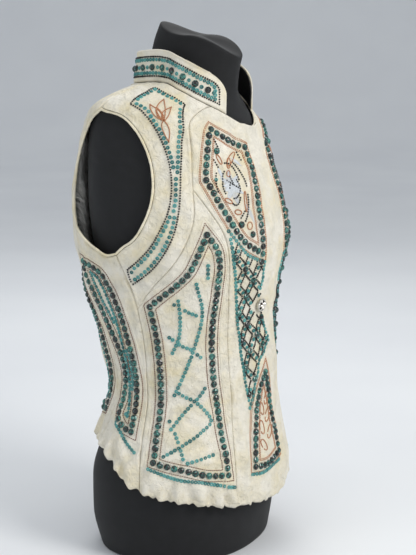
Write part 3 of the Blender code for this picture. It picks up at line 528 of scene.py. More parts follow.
def step(x):
    """Soft step from 0 at x = 0 to 1 at x = 1."""
    x = np.clip(x, 0.0, 1.0)
    return x * x * (3 - 2 * x)


def unit(v):
    return v / np.maximum(np.linalg.norm(v, axis=-1, keepdims=True), 1e-12)


def turned(a):
    """Degrees from the centre front, always positive."""
    return np.abs((np.asarray(a, float) + 180) % 360 - 180)


def column(table, name, s):
    return smooth(s, [(row.s, getattr(row, name)) for row in table])


def blend(a, front, side, back):
    """Value between the front, side and back ones, by the squared cosine of a."""
    c = np.cos(np.radians(a))
    return side + (front - side) * np.maximum(c, 0) ** 2 + (back - side) * np.maximum(-c, 0) ** 2


def form_point(a, s):
    """Point of the form: a superellipse in plan, with its height blended round the ring."""
    a = np.asarray(a, float)
    s = np.asarray(s, float)
    power = 2 / column(RINGS, "power", s)
    c = np.cos(np.radians(a))
    d = np.sin(np.radians(a))
    side_y = column(RINGS, "y_side", s)
    x = -column(RINGS, "half_width", s) * np.sign(d) * np.abs(d) ** power
    y = (side_y + (column(RINGS, "y_front", s) - side_y) * np.maximum(c, 0) ** power
         + (column(RINGS, "y_back", s) - side_y) * np.maximum(-c, 0) ** power)
    z = blend(a, column(RINGS, "z_front", s), column(RINGS, "z_side", s), column(RINGS, "z_back", s))
    bust = BUST_OUT * np.exp(-((turned(a) - BUST_AT[0]) / BUST_SPREAD[0]) ** 2
                             - ((s - BUST_AT[1]) / BUST_SPREAD[1]) ** 2)
    return np.stack([x - 0.25 * np.sign(d) * bust, y - 0.95 * bust, z], axis=-1)


def form_slopes(a, s):
    """Change of the form point for each degree and for each metre of s."""
    da, ds = 0.5, 0.002
    by_a = (form_point(a + da, s) - form_point(a - da, s)) / (2 * da)
    by_s = (form_point(a, s + ds) - form_point(a, s - ds)) / (2 * ds)
    return by_a, by_s


def normals(a, s):
    by_a, by_s = form_slopes(a, s)
    return unit(np.cross(by_s, by_a))


def hem_level(a):
    return smooth(turned(a), HEM_LEVEL)


def neck_level(a):
    return smooth(turned(a), NECK_LEVEL)


def hem_phase(a):
    """Phase of the hem's ripples, with uneven spacing, whole round the body."""
    r = np.radians(a)
    return HEM_WAVES * r + HEM_UNEVEN * (np.sin(3 * r + 0.6) + np.sin(7 * r + 2.0))


def ripple(a, s):
    """Sine wave of the hem, calmer at the front and fading out above the edge."""
    calm = FRONT_CALM + (1 - FRONT_CALM) * step((turned(a) - 14) / 12)
    fade = 1 - step((s - hem_level(a)) / RIPPLE_REACH)
    return HEM_RIPPLE * calm * fade * np.sin(hem_phase(a))


def ease_at(a, s):
    return blend(a, column(EASE, "front", s), column(EASE, "side", s), column(EASE, "back", s))


def vest_point(a, s, out=0.0):
    """Point of the vest: the form let out by its ease, its hem's ripple and out."""
    a = np.asarray(a, float)
    s = np.asarray(s, float)
    return form_point(a, s) + normals(a, s) * (ease_at(a, s) + ripple(a, s) + out)[..., None]


def lapped_point(a, s, out=0.0):
    """Point of the right front, which rises over the left one near the centre front."""
    rise = LAP_RISE * step((LAP_FROM - np.asarray(a, float)) / (LAP_FROM - LAP_FULL))
    return vest_point(a, s, rise + out)


def collar_point(a, h, out=0.0):
    """Point of the collar, h above the neckline, leaning in behind and out in front."""
    a = np.asarray(a, float)
    h = np.asarray(h, float)
    level = neck_level(a)
    up_cloth = unit(form_slopes(a, level)[1])
    foot = vest_point(a, level, CLOTH_WALL) + SEAM_GAP * up_cloth
    away = unit(normals(a, level) * (1.0, 1.0, 0.0))
    lean = blend(a, LEAN_FRONT, 0.5 * (LEAN_FRONT + LEAN_BACK), LEAN_BACK)
    rise = np.stack([0 * h, 0 * h, h], axis=-1)
    return foot + rise + away * (out - CLOTH_WALL - lean * h)[..., None]


def crumple(a, s):
    """Height of the leather's creases and lumps.

    Each crease is a ridge with a shallower trough beside it: two Gaussians across its run, faded along it.
    The left half has the same creases a little moved and lower. The lumps are sums of slow sines, and no
    trough is deeper than its limit, so the leather stays clear of the form.
    """
    left = np.where((a < 0) & (a > -180) | (a > 180), 1.0, 0.0)
    flat = turned(a)
    flat = np.where((a < 0) & (a > -25), a, flat)
    high = np.zeros(np.broadcast(a, s).shape)
    for i, fold in enumerate(CREASES):
        shift = left * (1.5 if i % 2 else -2.0)
        x = (flat - fold.a - shift) * CREASE_DEGREE
        y = s - fold.s - 0.004 * left * (1 if i % 3 else -1)
        c, d = math.cos(math.radians(fold.turn)), math.sin(math.radians(fold.turn))
        along = -x * c + y * d
        across = x * d + y * c + fold.bow * along ** 2
        trough = TROUGH_SHARE * np.exp(-((across - TROUGH_AT * fold.wide) / fold.wide) ** 2)
        ridge = np.exp(-(across / fold.wide) ** 2) - trough
        high += CREASE_LIFT * fold.high * (1 - 0.25 * left) * ridge * np.exp(-(along / fold.run) ** 2)
    u, v = np.radians(a), s / 0.05
    lumps = (np.sin(9 * u + 2.1 * v) * np.sin(5 * u - 1.7 * v + 1.3) + 0.7 * np.sin(17 * u - 3.9 * v + 0.4)
             * np.sin(12 * u + 3.1 * v) + 0.45 * np.sin(31 * u + 6.2 * v) * np.sin(27 * u - 5.1 * v + 2.2))
    high = high + LUMP_HEIGHT * lumps
    return np.where(high < 0, TROUGH_LIMIT * np.tanh(high / TROUGH_LIMIT), high)


def skin_right(a, s, lift=0.0):
    """Outer face of the leather, the right front's lap and the creases with it."""
    return lapped_point(a, s, CLOTH_WALL + crumple(a, s) + lift)


def skin(a, s, lift=0.0):
    """Outer face of the leather where no front laps over."""
    return vest_point(a, s, CLOTH_WALL + crumple(a, s) + lift)


def fine_path(points, level=hem_level):
    """Close points along a smooth curve through (degrees, s) points; None stands for the edge's level."""
    p = np.array([(a, level(a) if s is None else s) for a, s in points], float)
    t = np.concatenate([[0], np.cumsum(np.linalg.norm(np.diff(p * (PATH_DEGREE, 1), axis=0), axis=1))])
    m = np.gradient(p, t, axis=0)
    fine = np.linspace(0, t[-1], 400)
    i = np.clip(np.searchsorted(t, fine, side="right") - 1, 0, len(t) - 2)
    h = (t[i + 1] - t[i])[:, None]
    x = (fine - t[i])[:, None] / h
    return ((1 + 2 * x) * (1 - x) ** 2 * p[i] + x * (1 - x) ** 2 * h * m[i]
            + x * x * (3 - 2 * x) * p[i + 1] + x * x * (x - 1) * h * m[i + 1])


def run_of(path, place=vest_point):
    """Distance run along a path on the cloth, at each of its points."""
    real = place(path[:, 0], path[:, 1])
    return np.concatenate([[0], np.cumsum(np.linalg.norm(np.diff(real, axis=0), axis=1))])


def at_runs(path, run, at):
    return np.stack([np.interp(at, run, path[:, i]) for i in (0, 1)], axis=1)


def even_points(path, spacing, place=vest_point, ends=True):
    """Points of a path at even distances on the cloth, both ends kept unless ends is off."""
    run = run_of(path, place)
    count = max(1, round(run[-1] / spacing))
    at = np.linspace(0, run[-1], count + 1)
    return at_runs(path, run, at if ends else at[:-1])


def mirrored(curve):
    return curve * (-1.0, 1.0)


def build_mesh(name, points, faces, material, smooth_faces=True, attributes=()):
    """A mesh object from an array of points and a list of face arrays of any corner count."""
    mesh = bpy.data.meshes.new(name)
    corners = np.concatenate([f.reshape(-1) for f in faces]).astype(np.int32)
    sizes = np.concatenate([np.full(len(f), f.shape[1]) for f in faces])
    starts = np.concatenate([[0], np.cumsum(sizes)[:-1]]).astype(np.int32)
    mesh.vertices.add(len(points))
    mesh.vertices.foreach_set("co", np.asarray(points, np.float32).reshape(-1))
    mesh.loops.add(len(corners))
    mesh.loops.foreach_set("vertex_index", corners)
    mesh.polygons.add(len(starts))
    mesh.polygons.foreach_set("loop_start", starts)
    mesh.update(calc_edges=True)
    mesh.validate()
    mesh.polygons.foreach_set("use_smooth", np.full(len(starts), smooth_faces))
    for label, values in attributes:
        layer = mesh.attributes.new(label, "FLOAT", "POINT")
        layer.data.foreach_set("value", np.asarray(values, np.float32))
    mesh.materials.append(material)
    item = bpy.data.objects.new(name, mesh)
    bpy.context.scene.collection.objects.link(item)
    return item


def grid_faces(rows, columns, wrap_rows=False, wrap_columns=False, flip=False):
    """Corner numbers of the quads of a grid of points, row by row."""
    i = np.arange(rows if wrap_rows else rows - 1)[:, None]
    j = np.arange(columns if wrap_columns else columns - 1)[None, :]
    k, m = (i + 1) % rows, (j + 1) % columns
    quads = np.stack([i * columns + j, i * columns + m, k * columns + m, k * columns + j], axis=-1)
    quads = quads.reshape(-1, 4)
    return quads[:, ::-1] if flip else quads


def dress(item, nodes=()):
    """Puts a piece on the frame's body and hides the solids it stands for."""
    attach(item, BODY)
    if nodes:
        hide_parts(*nodes)
    return item


def graded(length, spacing):
    """Shares of a side: even steps, with closer ones beside both ends."""
    near = np.array([0.0, 0.7, 1.6, 2.8, 4.4]) * MM
    count = max(2, round((length - 2 * near[-1]) / spacing))
    inner = np.linspace(near[-1], length - near[-1], count + 1)
    return np.concatenate([near[:-1], inner, length - near[:-1][::-1]]) / length


def composite(parts, place):
    """Several end-to-end paths as one, with the shares of its length at which they meet."""
    whole = np.vstack([parts[0]] + [p[1:] for p in parts[1:]])
    run = run_of(whole, place)
    meets = np.cumsum([len(p) - 1 for p in parts])[:-1] if len(parts) > 1 else []
    return whole, run, [run[i] / run[-1] for i in meets]


def unfolded(grid):
    """Grid without folded cells: points within nine cells of one move to the middle of their neighbours."""
    for _ in range(400):
        one, other = grid[1:, 1:] - grid[:-1, :-1], grid[1:, :-1] - grid[:-1, 1:]
        area = one[..., 0] * other[..., 1] - one[..., 1] * other[..., 0]
        near = area * np.sign(np.median(area)) < 0
        if not near.any():
            break
        for _ in range(9):
            wide = np.pad(near, 1)
            near = wide[1:-1, 1:-1] | wide[:-2, 1:-1] | wide[2:, 1:-1] | wide[1:-1, :-2] | wide[1:-1, 2:]
        middle = (grid[:-2, 1:-1] + grid[2:, 1:-1] + grid[1:-1, :-2] + grid[1:-1, 2:]) / 4
        grid[1:-1, 1:-1] = np.where(near[1:, 1:, None], middle, grid[1:-1, 1:-1])
    return grid


def patch(low, high, first, last, spacing, place, lean=1.0):
    """Grid of (degrees, s) between four sides.

    A Coons patch: the sum of the straight blends between opposite sides, less the blend of the corners.
    first and last are lists of paths from the top down; low and high run from the first side to the last.
    A lean over 1 lets the grid's rows start higher up on the first side.
    """
    side_a, run_a, meet_a = composite(first, place)
    side_b, run_b, meet_b = composite(last, place)
    length = 0.5 * (run_a[-1] + run_b[-1])
    v = graded(length, spacing)
    for meet in [share ** (1 / lean) for share in meet_a] + meet_b:
        v[np.argmin(np.abs(v - meet))] = meet
    run_low, run_high = run_of(low, place), run_of(high, place)
    u = graded(max(run_low[-1], run_high[-1], 0.04), spacing)
    left, right = at_runs(side_a, run_a, v ** lean * run_a[-1]), at_runs(side_b, run_b, v * run_b[-1])
    top, bottom = at_runs(high, run_high, u * run_high[-1]), at_runs(low, run_low, u * run_low[-1])
    uu, vv = u[None, :, None], v[:, None, None]
    corners = ((1 - uu) * (1 - vv) * top[0] + uu * (1 - vv) * top[-1]
               + (1 - uu) * vv * bottom[0] + uu * vv * bottom[-1])
    return unfolded((1 - uu) * left[:, None] + uu * right[:, None] + (1 - vv) * top[None] + vv * bottom[None]
                    - corners)


def edge_distance(points):
    """Distance of each grid point from the grid's nearest side, measured along its rows and columns."""
    across = np.linalg.norm(np.diff(points, axis=1), axis=-1)
    down = np.linalg.norm(np.diff(points, axis=0), axis=-1)
    from_left = np.pad(np.cumsum(across, axis=1), ((0, 0), (1, 0)))
    from_top = np.pad(np.cumsum(down, axis=0), ((1, 0), (0, 0)))
    return np.minimum.reduce([from_left, from_left[:, -1:] - from_left, from_top, from_top[-1:] - from_top])


def edge_height(d):
    """Turned edge of a piece: it dives into the seam over 2 mm and stands up a little behind it."""
    dive = -1.4 * MM * np.clip(1 - d / (2.0 * MM), 0, 1) ** 2
    return dive + 0.9 * MM * np.exp(-((d - 3.6 * MM) / (1.7 * MM)) ** 2)


def node(tree, kind, inputs=None, **settings):
    """Adds a shader node, with its settings, and its inputs as values or as sockets to link from."""
    made = tree.nodes.new(kind)
    for key, value in settings.items():
        setattr(made, key, value)
    for key, value in (inputs or {}).items():
        socket = made.inputs[key]
        if isinstance(value, bpy.types.NodeSocket):
            tree.links.new(value, socket)
        else:
            socket.default_value = value
    return made


def ramp(tree, factor, stops):
    """A colour ramp over (position, colour) stops."""
    made = node(tree, "ShaderNodeValToRGB", {"Fac": factor})
    band = made.color_ramp
    while len(band.elements) < len(stops):
        band.elements.new(0.5)
    for element, (position, colour) in zip(band.elements, stops):
        element.position = position
        element.color = (*colour[:3], 1.0)
    return made.outputs["Color"]


def grey(x):
    return (x, x, x)


def new_material(name, **values):
    """A material with a Principled shader; values are its constant sockets."""
    material = bpy.data.materials.new(name)
    material.use_nodes = True
    tree = material.node_tree
    shader = tree.nodes["Principled BSDF"]
    for key, value in values.items():
        shader.inputs[key.replace("_", " ")].default_value = value
    return material, tree, shader


def mesh_place(tree):
    """Place on the piece, in metres."""
    return node(tree, "ShaderNodeTexCoord").outputs["Object"]


def stored(tree, name):
    """Value that the mesh keeps under a name at each point."""
    return node(tree, "ShaderNodeAttribute", attribute_name=name).outputs["Fac"]


def noise(tree, where, size, detail, **more):
    """Noise from 0 to 1 in patches of about the given size."""
    inputs = {"Vector": where, "Scale": 1 / size, "Detail": detail, **more}
    return node(tree, "ShaderNodeTexNoise", inputs).outputs["Fac"]


def bump(tree, height, strength, distance, under=None):
    """Normal of a surface raised by a height, over the normal of an earlier bump if there is one."""
    inputs = {"Height": height, "Strength": strength, "Distance": distance}
    if under is not None:
        inputs["Normal"] = under
    return node(tree, "ShaderNodeBump", inputs).outputs["Normal"]


def coloured(tree, shader, factor, stops):
    """Gives a shader its colour from a ramp over (position, colour) stops."""
    tree.links.new(ramp(tree, factor, stops), shader.inputs["Base Color"])


def leather(name, c, base, wrinkle=1.0):
    """Alum-tanned sheepskin, suede side in: matt and pale, with yellowed and greyed patches.

    Fine creases up to 9 mm apart come from the skin's folding in wear; the grain is drawn at 1.2 mm, since
    the real one of 0.2 mm is too fine to show.
    """
    material, tree, shader = new_material(name, Roughness=0.62, Sheen_Weight=0.15)
    where = mesh_place(tree)
    patches = noise(tree, where, 45 * MM, 4.0, Roughness=0.6)
    greyed = noise(tree, where, 22 * MM, 5.0, Roughness=0.65)
    folds = noise(tree, where, 9 * MM, 5.0, Roughness=0.62, Distortion=0.8)
    lines = node(tree, "ShaderNodeTexVoronoi", {"Vector": where, "Scale": 1 / (7 * MM), "Randomness": 1.0},
                 feature="DISTANCE_TO_EDGE").outputs["Distance"]
    grain = noise(tree, where, 1.2 * MM, 2.0)
    stained = ramp(tree, patches, [(0.40, base), (0.74, c.leather_stain)])
    shade = ramp(tree, greyed, [(0.46, grey(0.0)), (0.70, grey(0.75))])
    mixed = node(tree, "ShaderNodeMix", {"Factor": shade, "A": stained, "B": (*c.leather_shade, 1.0)},
                 data_type="RGBA").outputs["Result"]
    tree.links.new(mixed, shader.inputs["Base Color"])
    cracks = ramp(tree, lines, [(0.0, grey(0.0)), (0.16, grey(1.0))])
    soft = bump(tree, folds, wrinkle, 4.0 * MM)
    fine = bump(tree, cracks, 0.28 * wrinkle, 0.7 * MM, soft)
    last = bump(tree, grain, 0.4, 0.25 * MM, fine)
    tree.links.new(last, shader.inputs["Normal"])
    return material


def fleece_side(c):
    """Undyed wool side of the skin: off-white, matt, in curls about 6 mm across, with painted shade making
    the hollows between the curls darker grey.
    """
    material, tree, shader = new_material("wool_side_of_the_skin", Roughness=0.95)
    curls = noise(tree, mesh_place(tree), 6 * MM, 4.0, Distortion=1.5)
    # Painted shade: the noise that raises the curls also colours their low parts dark grey (#8E8A82)
    coloured(tree, shader, curls, [(0.3, linear("#8E8A82")), (0.7, c.fleece)])
    tree.links.new(bump(tree, curls, 0.8, 3 * MM), shader.inputs["Normal"])
    return material


def lining_cloth(c):
    """Black satin-weave lining: dark and close, its twill drawn at 1.6 mm since 0.3 mm would not show."""
    material, tree, shader = new_material("black_satin_lining", Roughness=0.55)
    bands = {"Vector": mesh_place(tree), "Scale": 0.5 / (1.6 * MM) / 3.0, "Distortion": 1.0}
    twill = node(tree, "ShaderNodeTexWave", bands, bands_direction="DIAGONAL").outputs["Fac"]
    coloured(tree, shader, twill, [(0.0, linear("#121113")), (1.0, c.lining)])
    tree.links.new(bump(tree, twill, 0.2, 0.2 * MM), shader.inputs["Normal"])
    return material


def variegated_glass(c):
    """Pressed glass with turquoise, black and brown run together: mottles 3 mm across, polished facets."""
    material, tree, shader = new_material("variegated_turquoise_glass", Roughness=0.22, Coat_Weight=0.3)
    mottle = noise(tree, mesh_place(tree), 3.2 * MM, 3.0, Roughness=0.6)
    shifted = node(tree, "ShaderNodeMath", {0: stored(tree, "tone"), 1: 0.42, 2: -0.21},
                   operation="MULTIPLY_ADD").outputs[0]
    total = node(tree, "ShaderNodeMath", {0: mottle, 1: shifted}, operation="ADD").outputs[0]
    coloured(tree, shader, total, [(0.34, c.bead_dark), (0.43, c.bead_brown), (0.50, linear("#1B3B39")),
                                   (0.60, c.bead_teal), (0.76, linear("#5E9C8E"))])
    return material


def turquoise_ring(c):
    """Opaque turquoise glass rings, moulded and a little uneven in shade from one to the next."""
    material, tree, shader = new_material("opaque_turquoise_glass", Roughness=0.35)
    veins = noise(tree, mesh_place(tree), 2.5 * MM, 2.0)
    total = node(tree, "ShaderNodeMath", {0: stored(tree, "tone"), 1: 0.6, 2: veins},
                 operation="MULTIPLY_ADD").outputs[0]
    coloured(tree, shader, total, [(0.40, linear("#275F60")), (0.72, c.ring), (1.00, c.ring_light)])
    return material


def plain_glass(name, colour, roughness, other):
    """Opaque pressed glass seed beads with slight differences in shade over 8 mm."""
    material, tree, shader = new_material(name, Roughness=roughness)
    drift = noise(tree, mesh_place(tree), 8 * MM, 2.0)
    coloured(tree, shader, drift, [(0.35, colour), (0.65, other)])
    return material


def thread(name, colour, other):
    """Two-ply embroidery silk: a soft shine and strands that twist every 2 mm."""
    material, tree, shader = new_material(name, Roughness=0.5, Sheen_Weight=0.3)
    twist = noise(tree, mesh_place(tree), 2 * MM, 2.0)
    coloured(tree, shader, twist, [(0.35, colour), (0.65, other)])
    return material


def worn_silver(c):
    """Cast silver, tarnished nearly black in its hollows and rubbed bright on its relief."""
    material, tree, shader = new_material("cast_tarnished_silver", Roughness=0.28, Metallic=1.0)
    coloured(tree, shader, stored(tree, "relief"),
             [(0.12, linear("#15130F")), (0.30, linear("#8A857A")), (0.46, c.silver)])
    return material


def wool():
    """Loose wool locks: matt, grey at the root and paler at the tip."""
    material, tree, shader = new_material("loose_wool_locks", Roughness=0.9, Sheen_Weight=0.4)
    coloured(tree, shader, stored(tree, "tone"), [(0.0, linear("#B4B1AA")), (1.0, linear("#F2F0EA"))])
    return material


def black_jersey(c):
    """Black knitted jersey stretched over foam: matt with a faint sheen, stitches drawn at 1.5 mm."""
    material, tree, shader = new_material("black_cotton_jersey", Roughness=0.8, Sheen_Weight=0.03)
    where = mesh_place(tree)
    lint = noise(tree, where, 14 * MM, 5.0)
    coloured(tree, shader, lint, [(0.4, c.jersey), (0.8, linear("#0F1013"))])
    knit = noise(tree, where, 1.5 * MM, 1.0)
    tree.links.new(bump(tree, knit, 0.25, 0.3 * MM), shader.inputs["Normal"])
    return material


def studio_floor(c):
    """Painted studio floor: matt and pale, with slow differences in shade."""
    material, tree, shader = new_material("matt_floor_paint", Roughness=0.9)
    slow = noise(tree, mesh_place(tree), 2 / 3, 2.0)
    coloured(tree, shader, slow, [(0.3, c.floor), (0.7, linear("#E8EAEC"))])
    return material


def wall_of(item, thickness, inner=None):
    """Gives a sheet its thickness inwards, with the inner material on the hidden side."""
    if inner:
        item.data.materials.append(inner)
    made = item.modifiers.new("wall", "SOLIDIFY")
    made.thickness = thickness
    made.offset = -1.0
    made.material_offset = 1 if inner else 0
    made.material_offset_rim = 0
    return item


def panel_paths():
    """Every seam and edge of the right half as a close path."""
    return {
        "yoke_top": fine_path(YOKE_TOP_SEAM, neck_level),
        "yoke_low": fine_path(YOKE_LOW_SEAM),
        "underarm": fine_path(UNDERARM_SEAM),
        "side": fine_path(SIDE_SEAM),
        "princess": fine_path(PRINCESS_SEAM),
        "back": fine_path(BACK_SEAM),
        "shoulder": fine_path(SHOULDER_SEAM, neck_level),
        "hole_front": fine_path(ARMHOLE_FRONT),
        "hole_under": fine_path(ARMHOLE_UNDER),
        "hole_back": fine_path(ARMHOLE_BACK),
        "right_edge": fine_path(RIGHT_EDGE),
        "left_edge": fine_path(LEFT_EDGE),
    }


def level_path(a0, a1, level):
    a = np.linspace(a0, a1, 600)
    return np.stack([a, level(a)], axis=1)


def hem_edge(a):
    """Hem level with the small scallops of its pinked edge."""
    r = np.radians(a)
    return hem_level(a) + 1.3 * MM * np.sin(61 * r + 1.5 * np.sin(5 * r)) + 0.8 * MM * np.sin(97 * r + 1.0)


def panels():
    """The nine leather pieces: name, low side, high side, and the first and last sides from the top down."""
    p = panel_paths()
    rows = []
    for sign, tag in ((1.0, "right"), (-1.0, "left")):
        turn = {key: path * (sign, 1.0) for key, path in p.items()}
        edge = p["right_edge"] if sign > 0 else p["left_edge"]
        rows.append(("front_" + tag, level_path(edge[-1, 0], sign * PRINCESS_FOOT, hem_edge),
                     level_path(edge[0, 0], sign * YOKE_HEAD, neck_level), [edge],
                     [turn["yoke_top"], turn["princess"]]))
        rows.append(("armhole_yoke_" + tag, np.repeat(turn["side"][:1], 600, axis=0),
                     level_path(sign * YOKE_HEAD, sign * SHOULDER_HEAD, neck_level),
                     [turn["yoke_top"], turn["yoke_low"]],
                     [turn["shoulder"], turn["hole_front"], turn["underarm"]]))
        rows.append(("side_front_" + tag, level_path(sign * PRINCESS_FOOT, sign * SIDE_FOOT, hem_edge),
                     turn["yoke_low"], [turn["princess"]], [turn["side"]]))
        rows.append(("side_back_" + tag, level_path(sign * SIDE_FOOT, sign * BACK_FOOT, hem_edge),
                     turn["hole_under"], [turn["underarm"], turn["side"]], [turn["back"]]))
    far = {key: path * (-1.0, 1.0) + (360.0, 0.0) for key, path in p.items()}
    rows.append(("back", level_path(BACK_FOOT, 360 - BACK_FOOT, hem_edge),
                 level_path(SHOULDER_HEAD, 360 - SHOULDER_HEAD, neck_level),
                 [p["shoulder"], p["hole_back"][::-1], p["back"]],
                 [far["shoulder"], far["hole_back"][::-1], far["back"]]))
    return rows


def cut_of(points):
    """Flat width, length and area of a sheet, measured along its grid."""
    width = np.linalg.norm(np.diff(points, axis=1), axis=-1).sum(axis=1).max()
    length = np.linalg.norm(np.diff(points, axis=0), axis=-1).sum(axis=0).max()
    one, other = points[1:, 1:] - points[:-1, :-1], points[1:, :-1] - points[:-1, 1:]
    area = 0.5 * np.linalg.norm(np.cross(one, other), axis=-1).sum()
    return (float(width), float(length)), float(area)


class VEST_OT_leather(bpy.types.Operator):
    """Cut and hang the nine leather pieces of the vest"""

    bl_idname = "vest.leather"
    bl_label = "Leather pieces"

    def execute(self, context):
        sizes, c = context.scene.vest_sizes, context.scene.vest_colours
        outside = leather("alum_tanned_sheepskin", c, c.leather)
        inside_wool = fleece_side(c)
        for name, low, high, first, last in panels():
            place = lapped_point if name == "front_right" else vest_point
            grid = patch(low, high, first, last, sizes.grid_step, place, YOKE_LEAN if "yoke" in name else 1.0)
            a, s = grid[..., 0], grid[..., 1]
            d = edge_distance(place(a, s, 0.0 * a))
            points = place(a, s, CLOTH_WALL + crumple(a, s) * step(d / (4 * MM)) + edge_height(d))
            rows, columns = a.shape
            faces = grid_faces(rows, columns, flip=name.endswith("left"))
            item = build_mesh("leather_" + name, points.reshape(-1, 3), [faces], outside)
            wall_of(item, CLOTH_WALL, inside_wool)
            dress(item, [name])
            flat, area = cut_of(place(a, s, 0.0 * a))
        return {"FINISHED"}


def collar_sides(height, foot, inset=0.0):
    """Four sides of the collar seen flat: low, high, first and last, the ends with their round corners."""
    end = COLLAR_END + inset / COLLAR_DEGREE
    reach = COLLAR_CORNER / COLLAR_DEGREE
    turn = np.radians(np.linspace(0, 90, 60))
    rise = np.stack([end + reach * (1 - np.cos(turn)), height - COLLAR_CORNER * (1 - np.sin(turn))], axis=1)
    upright = np.stack([np.full(60, end), np.linspace(foot, height - COLLAR_CORNER, 60)], axis=1)
    first = np.vstack([upright, rise[1:]])[::-1]
    last = first * (-1.0, 1.0) + (360.0, 0.0)
    a = np.linspace(end, 360 - end, 600)
    top = np.linspace(end + reach, 360 - end - reach, 600)
    low = np.stack([a, np.full(600, foot)], axis=1)
    high = np.stack([top, np.full(600, height)], axis=1)
    return low, high, [first], [last]


class VEST_OT_collar(bpy.types.Operator):
    """Make the stand collar and its dark lining"""

    bl_idname = "vest.collar"
    bl_label = "Collar"

    def execute(self, context):
        sizes, c = context.scene.vest_sizes, context.scene.vest_colours
        grid = patch(*collar_sides(COLLAR_HEIGHT, 0.0), sizes.grid_step * 0.8, collar_point)
        a, h = grid[..., 0], grid[..., 1]
        d = edge_distance(collar_point(a, h, 0.0 * a))
        lift = CLOTH_WALL + edge_height(d) + 0.25 * MM * np.sin(np.radians(a) * 11) * np.sin(h / 9e-3)
        faces = grid_faces(*a.shape)
        item = build_mesh("leather_collar", collar_point(a, h, lift).reshape(-1, 3), [faces],
                          leather("collar_sheepskin", c, c.leather, 0.5))
        wall_of(item, CLOTH_WALL)
        dress(item, ["collar"])
        flat, area = cut_of(collar_point(a, h, 0.0 * a))
        sides = collar_sides(COLLAR_HEIGHT - LINING_INSET, LINING_RISE, LINING_INSET)
        grid = patch(*sides, sizes.grid_step * 1.2, collar_point)
        a, h = grid[..., 0], grid[..., 1]
        out = np.full(a.shape, -SEAM_GAP)
        item = build_mesh("collar_lining_cloth", collar_point(a, h, out).reshape(-1, 3),
                          [grid_faces(*a.shape)], lining_cloth(c))
        wall_of(item, LINING_WALL)
        dress(item, ["collar_lining"])
        flat, area = cut_of(collar_point(a, h, 0.0 * a))
        return {"FINISHED"}


def sweep(path, outward, radius, sides, closed):
    """Round cord along a path: circles across it, of the given radii, joined one to the next."""
    if closed:
        ahead = unit(np.roll(path, -1, axis=0) - np.roll(path, 1, axis=0))
    else:
        ahead = unit(np.gradient(path, axis=0))
    up = unit(outward - (outward * ahead).sum(1)[:, None] * ahead)
    across = np.cross(ahead, up)
    turn = np.linspace(0, 2 * math.pi, sides, endpoint=False)[None, :, None]
    circle = np.cos(turn) * up[:, None] + np.sin(turn) * across[:, None]
    points = path[:, None] + np.broadcast_to(radius, len(path))[:, None, None] * circle
    return points.reshape(-1, 3), grid_faces(len(path), sides, wrap_rows=closed, wrap_columns=True)


class VEST_OT_bindings(bpy.types.Operator):
    """Roll the bindings round the two armholes"""

    bl_idname = "vest.bindings"
    bl_label = "Armhole bindings"

    def execute(self, context):
        c = context.scene.vest_colours
        cream = leather("rolled_binding_leather", c, c.binding, 0.6)
        p = panel_paths()
        for sign, tag in ((1.0, "right"), (-1.0, "left")):
            loop = np.vstack([p["hole_front"][:-1], p["hole_under"][:-1], p["hole_back"][:-1]])
            loop = even_points(np.vstack([loop, loop[:1]]) * (sign, 1.0), 2.5 * MM, ends=False)
            a, s = loop.T
            edge = vest_point(a, s, np.full(len(a), CLOTH_WALL / 2))
            outward = normals(a, s)
            ahead = np.roll(edge, -1, axis=0) - np.roll(edge, 1, axis=0)
            into = unit(np.cross(outward, ahead))
            if (into * (edge.mean(axis=0) - edge)).sum() < 0:
                into = -into
            path = edge + into * (BINDING_RADIUS + SEAM_GAP)
            run = np.linspace(0, 2 * math.pi, len(path), endpoint=False)
            radius = BINDING_RADIUS * (1 + 0.06 * np.sin(23 * run) + 0.05 * np.sin(57 * run + 1))
            points, faces = sweep(path, outward, radius, 12, True)
            item = build_mesh("rolled_binding_" + tag, points, [faces], cream)
            dress(item, ["armhole_binding_" + tag])
        return {"FINISHED"}


def flat_metric(a, s):
    """Slopes of the cloth at (a, s), as a two-by-two matrix of their products and the slopes themselves."""
    by_a, by_s = form_slopes(a, s)
    g = np.stack([np.stack([(by_a * by_a).sum(-1), (by_a * by_s).sum(-1)], -1),
                  np.stack([(by_a * by_s).sum(-1), (by_s * by_s).sum(-1)], -1)], -2)
    return g, by_a, by_s


def moved(places, vectors):
    """Places (a, s) moved by vectors in space, along the cloth."""
    g, by_a, by_s = flat_metric(places[:, 0], places[:, 1])
    pulls = np.stack([(vectors * by_a).sum(-1), (vectors * by_s).sum(-1)], -1)
    return places + np.linalg.solve(g, pulls[..., None])[..., 0]


def beside(path, distance):
    """A path moved along the cloth, distance to its left seen from outside."""
    _, by_a, by_s = flat_metric(path[:, 0], path[:, 1])
    ahead = np.gradient(path, axis=0)
    forward = unit(ahead[:, :1] * by_a + ahead[:, 1:] * by_s)
    return moved(path, distance * np.cross(normals(path[:, 0], path[:, 1]), forward))


def joint(one, other, corner):
    """Where two lengthened paths cross nearest their corner: index after it in each, and the place.

    corner is the count of added points on each path's end. Without a crossing, the paths meet end to end.
    """
    skip = max(0, len(one) - 3 * corner)
    p, q = one[skip:-1, None], other[None, :3 * corner - 1]
    r, t = one[skip + 1:, None] - p, other[None, 1:3 * corner] - q
    base = r[..., 0] * t[..., 1] - r[..., 1] * t[..., 0]
    base = np.where(base == 0, 1e-18, base)
    gap = q - p
    u = (gap[..., 0] * t[..., 1] - gap[..., 1] * t[..., 0]) / base
    v = (gap[..., 0] * r[..., 1] - gap[..., 1] * r[..., 0]) / base
    i, j = np.nonzero((u >= 0) & (u < 1) & (v >= 0) & (v < 1))
    if not len(i):
        return len(one) - corner, corner, other[corner:corner + 1]
    best = np.argmin(np.abs(i + skip + corner - len(one)))
    i, j = i[best], j[best]
    return i + skip + 1, j + 1, p[i] + u[i, j] * r[i]


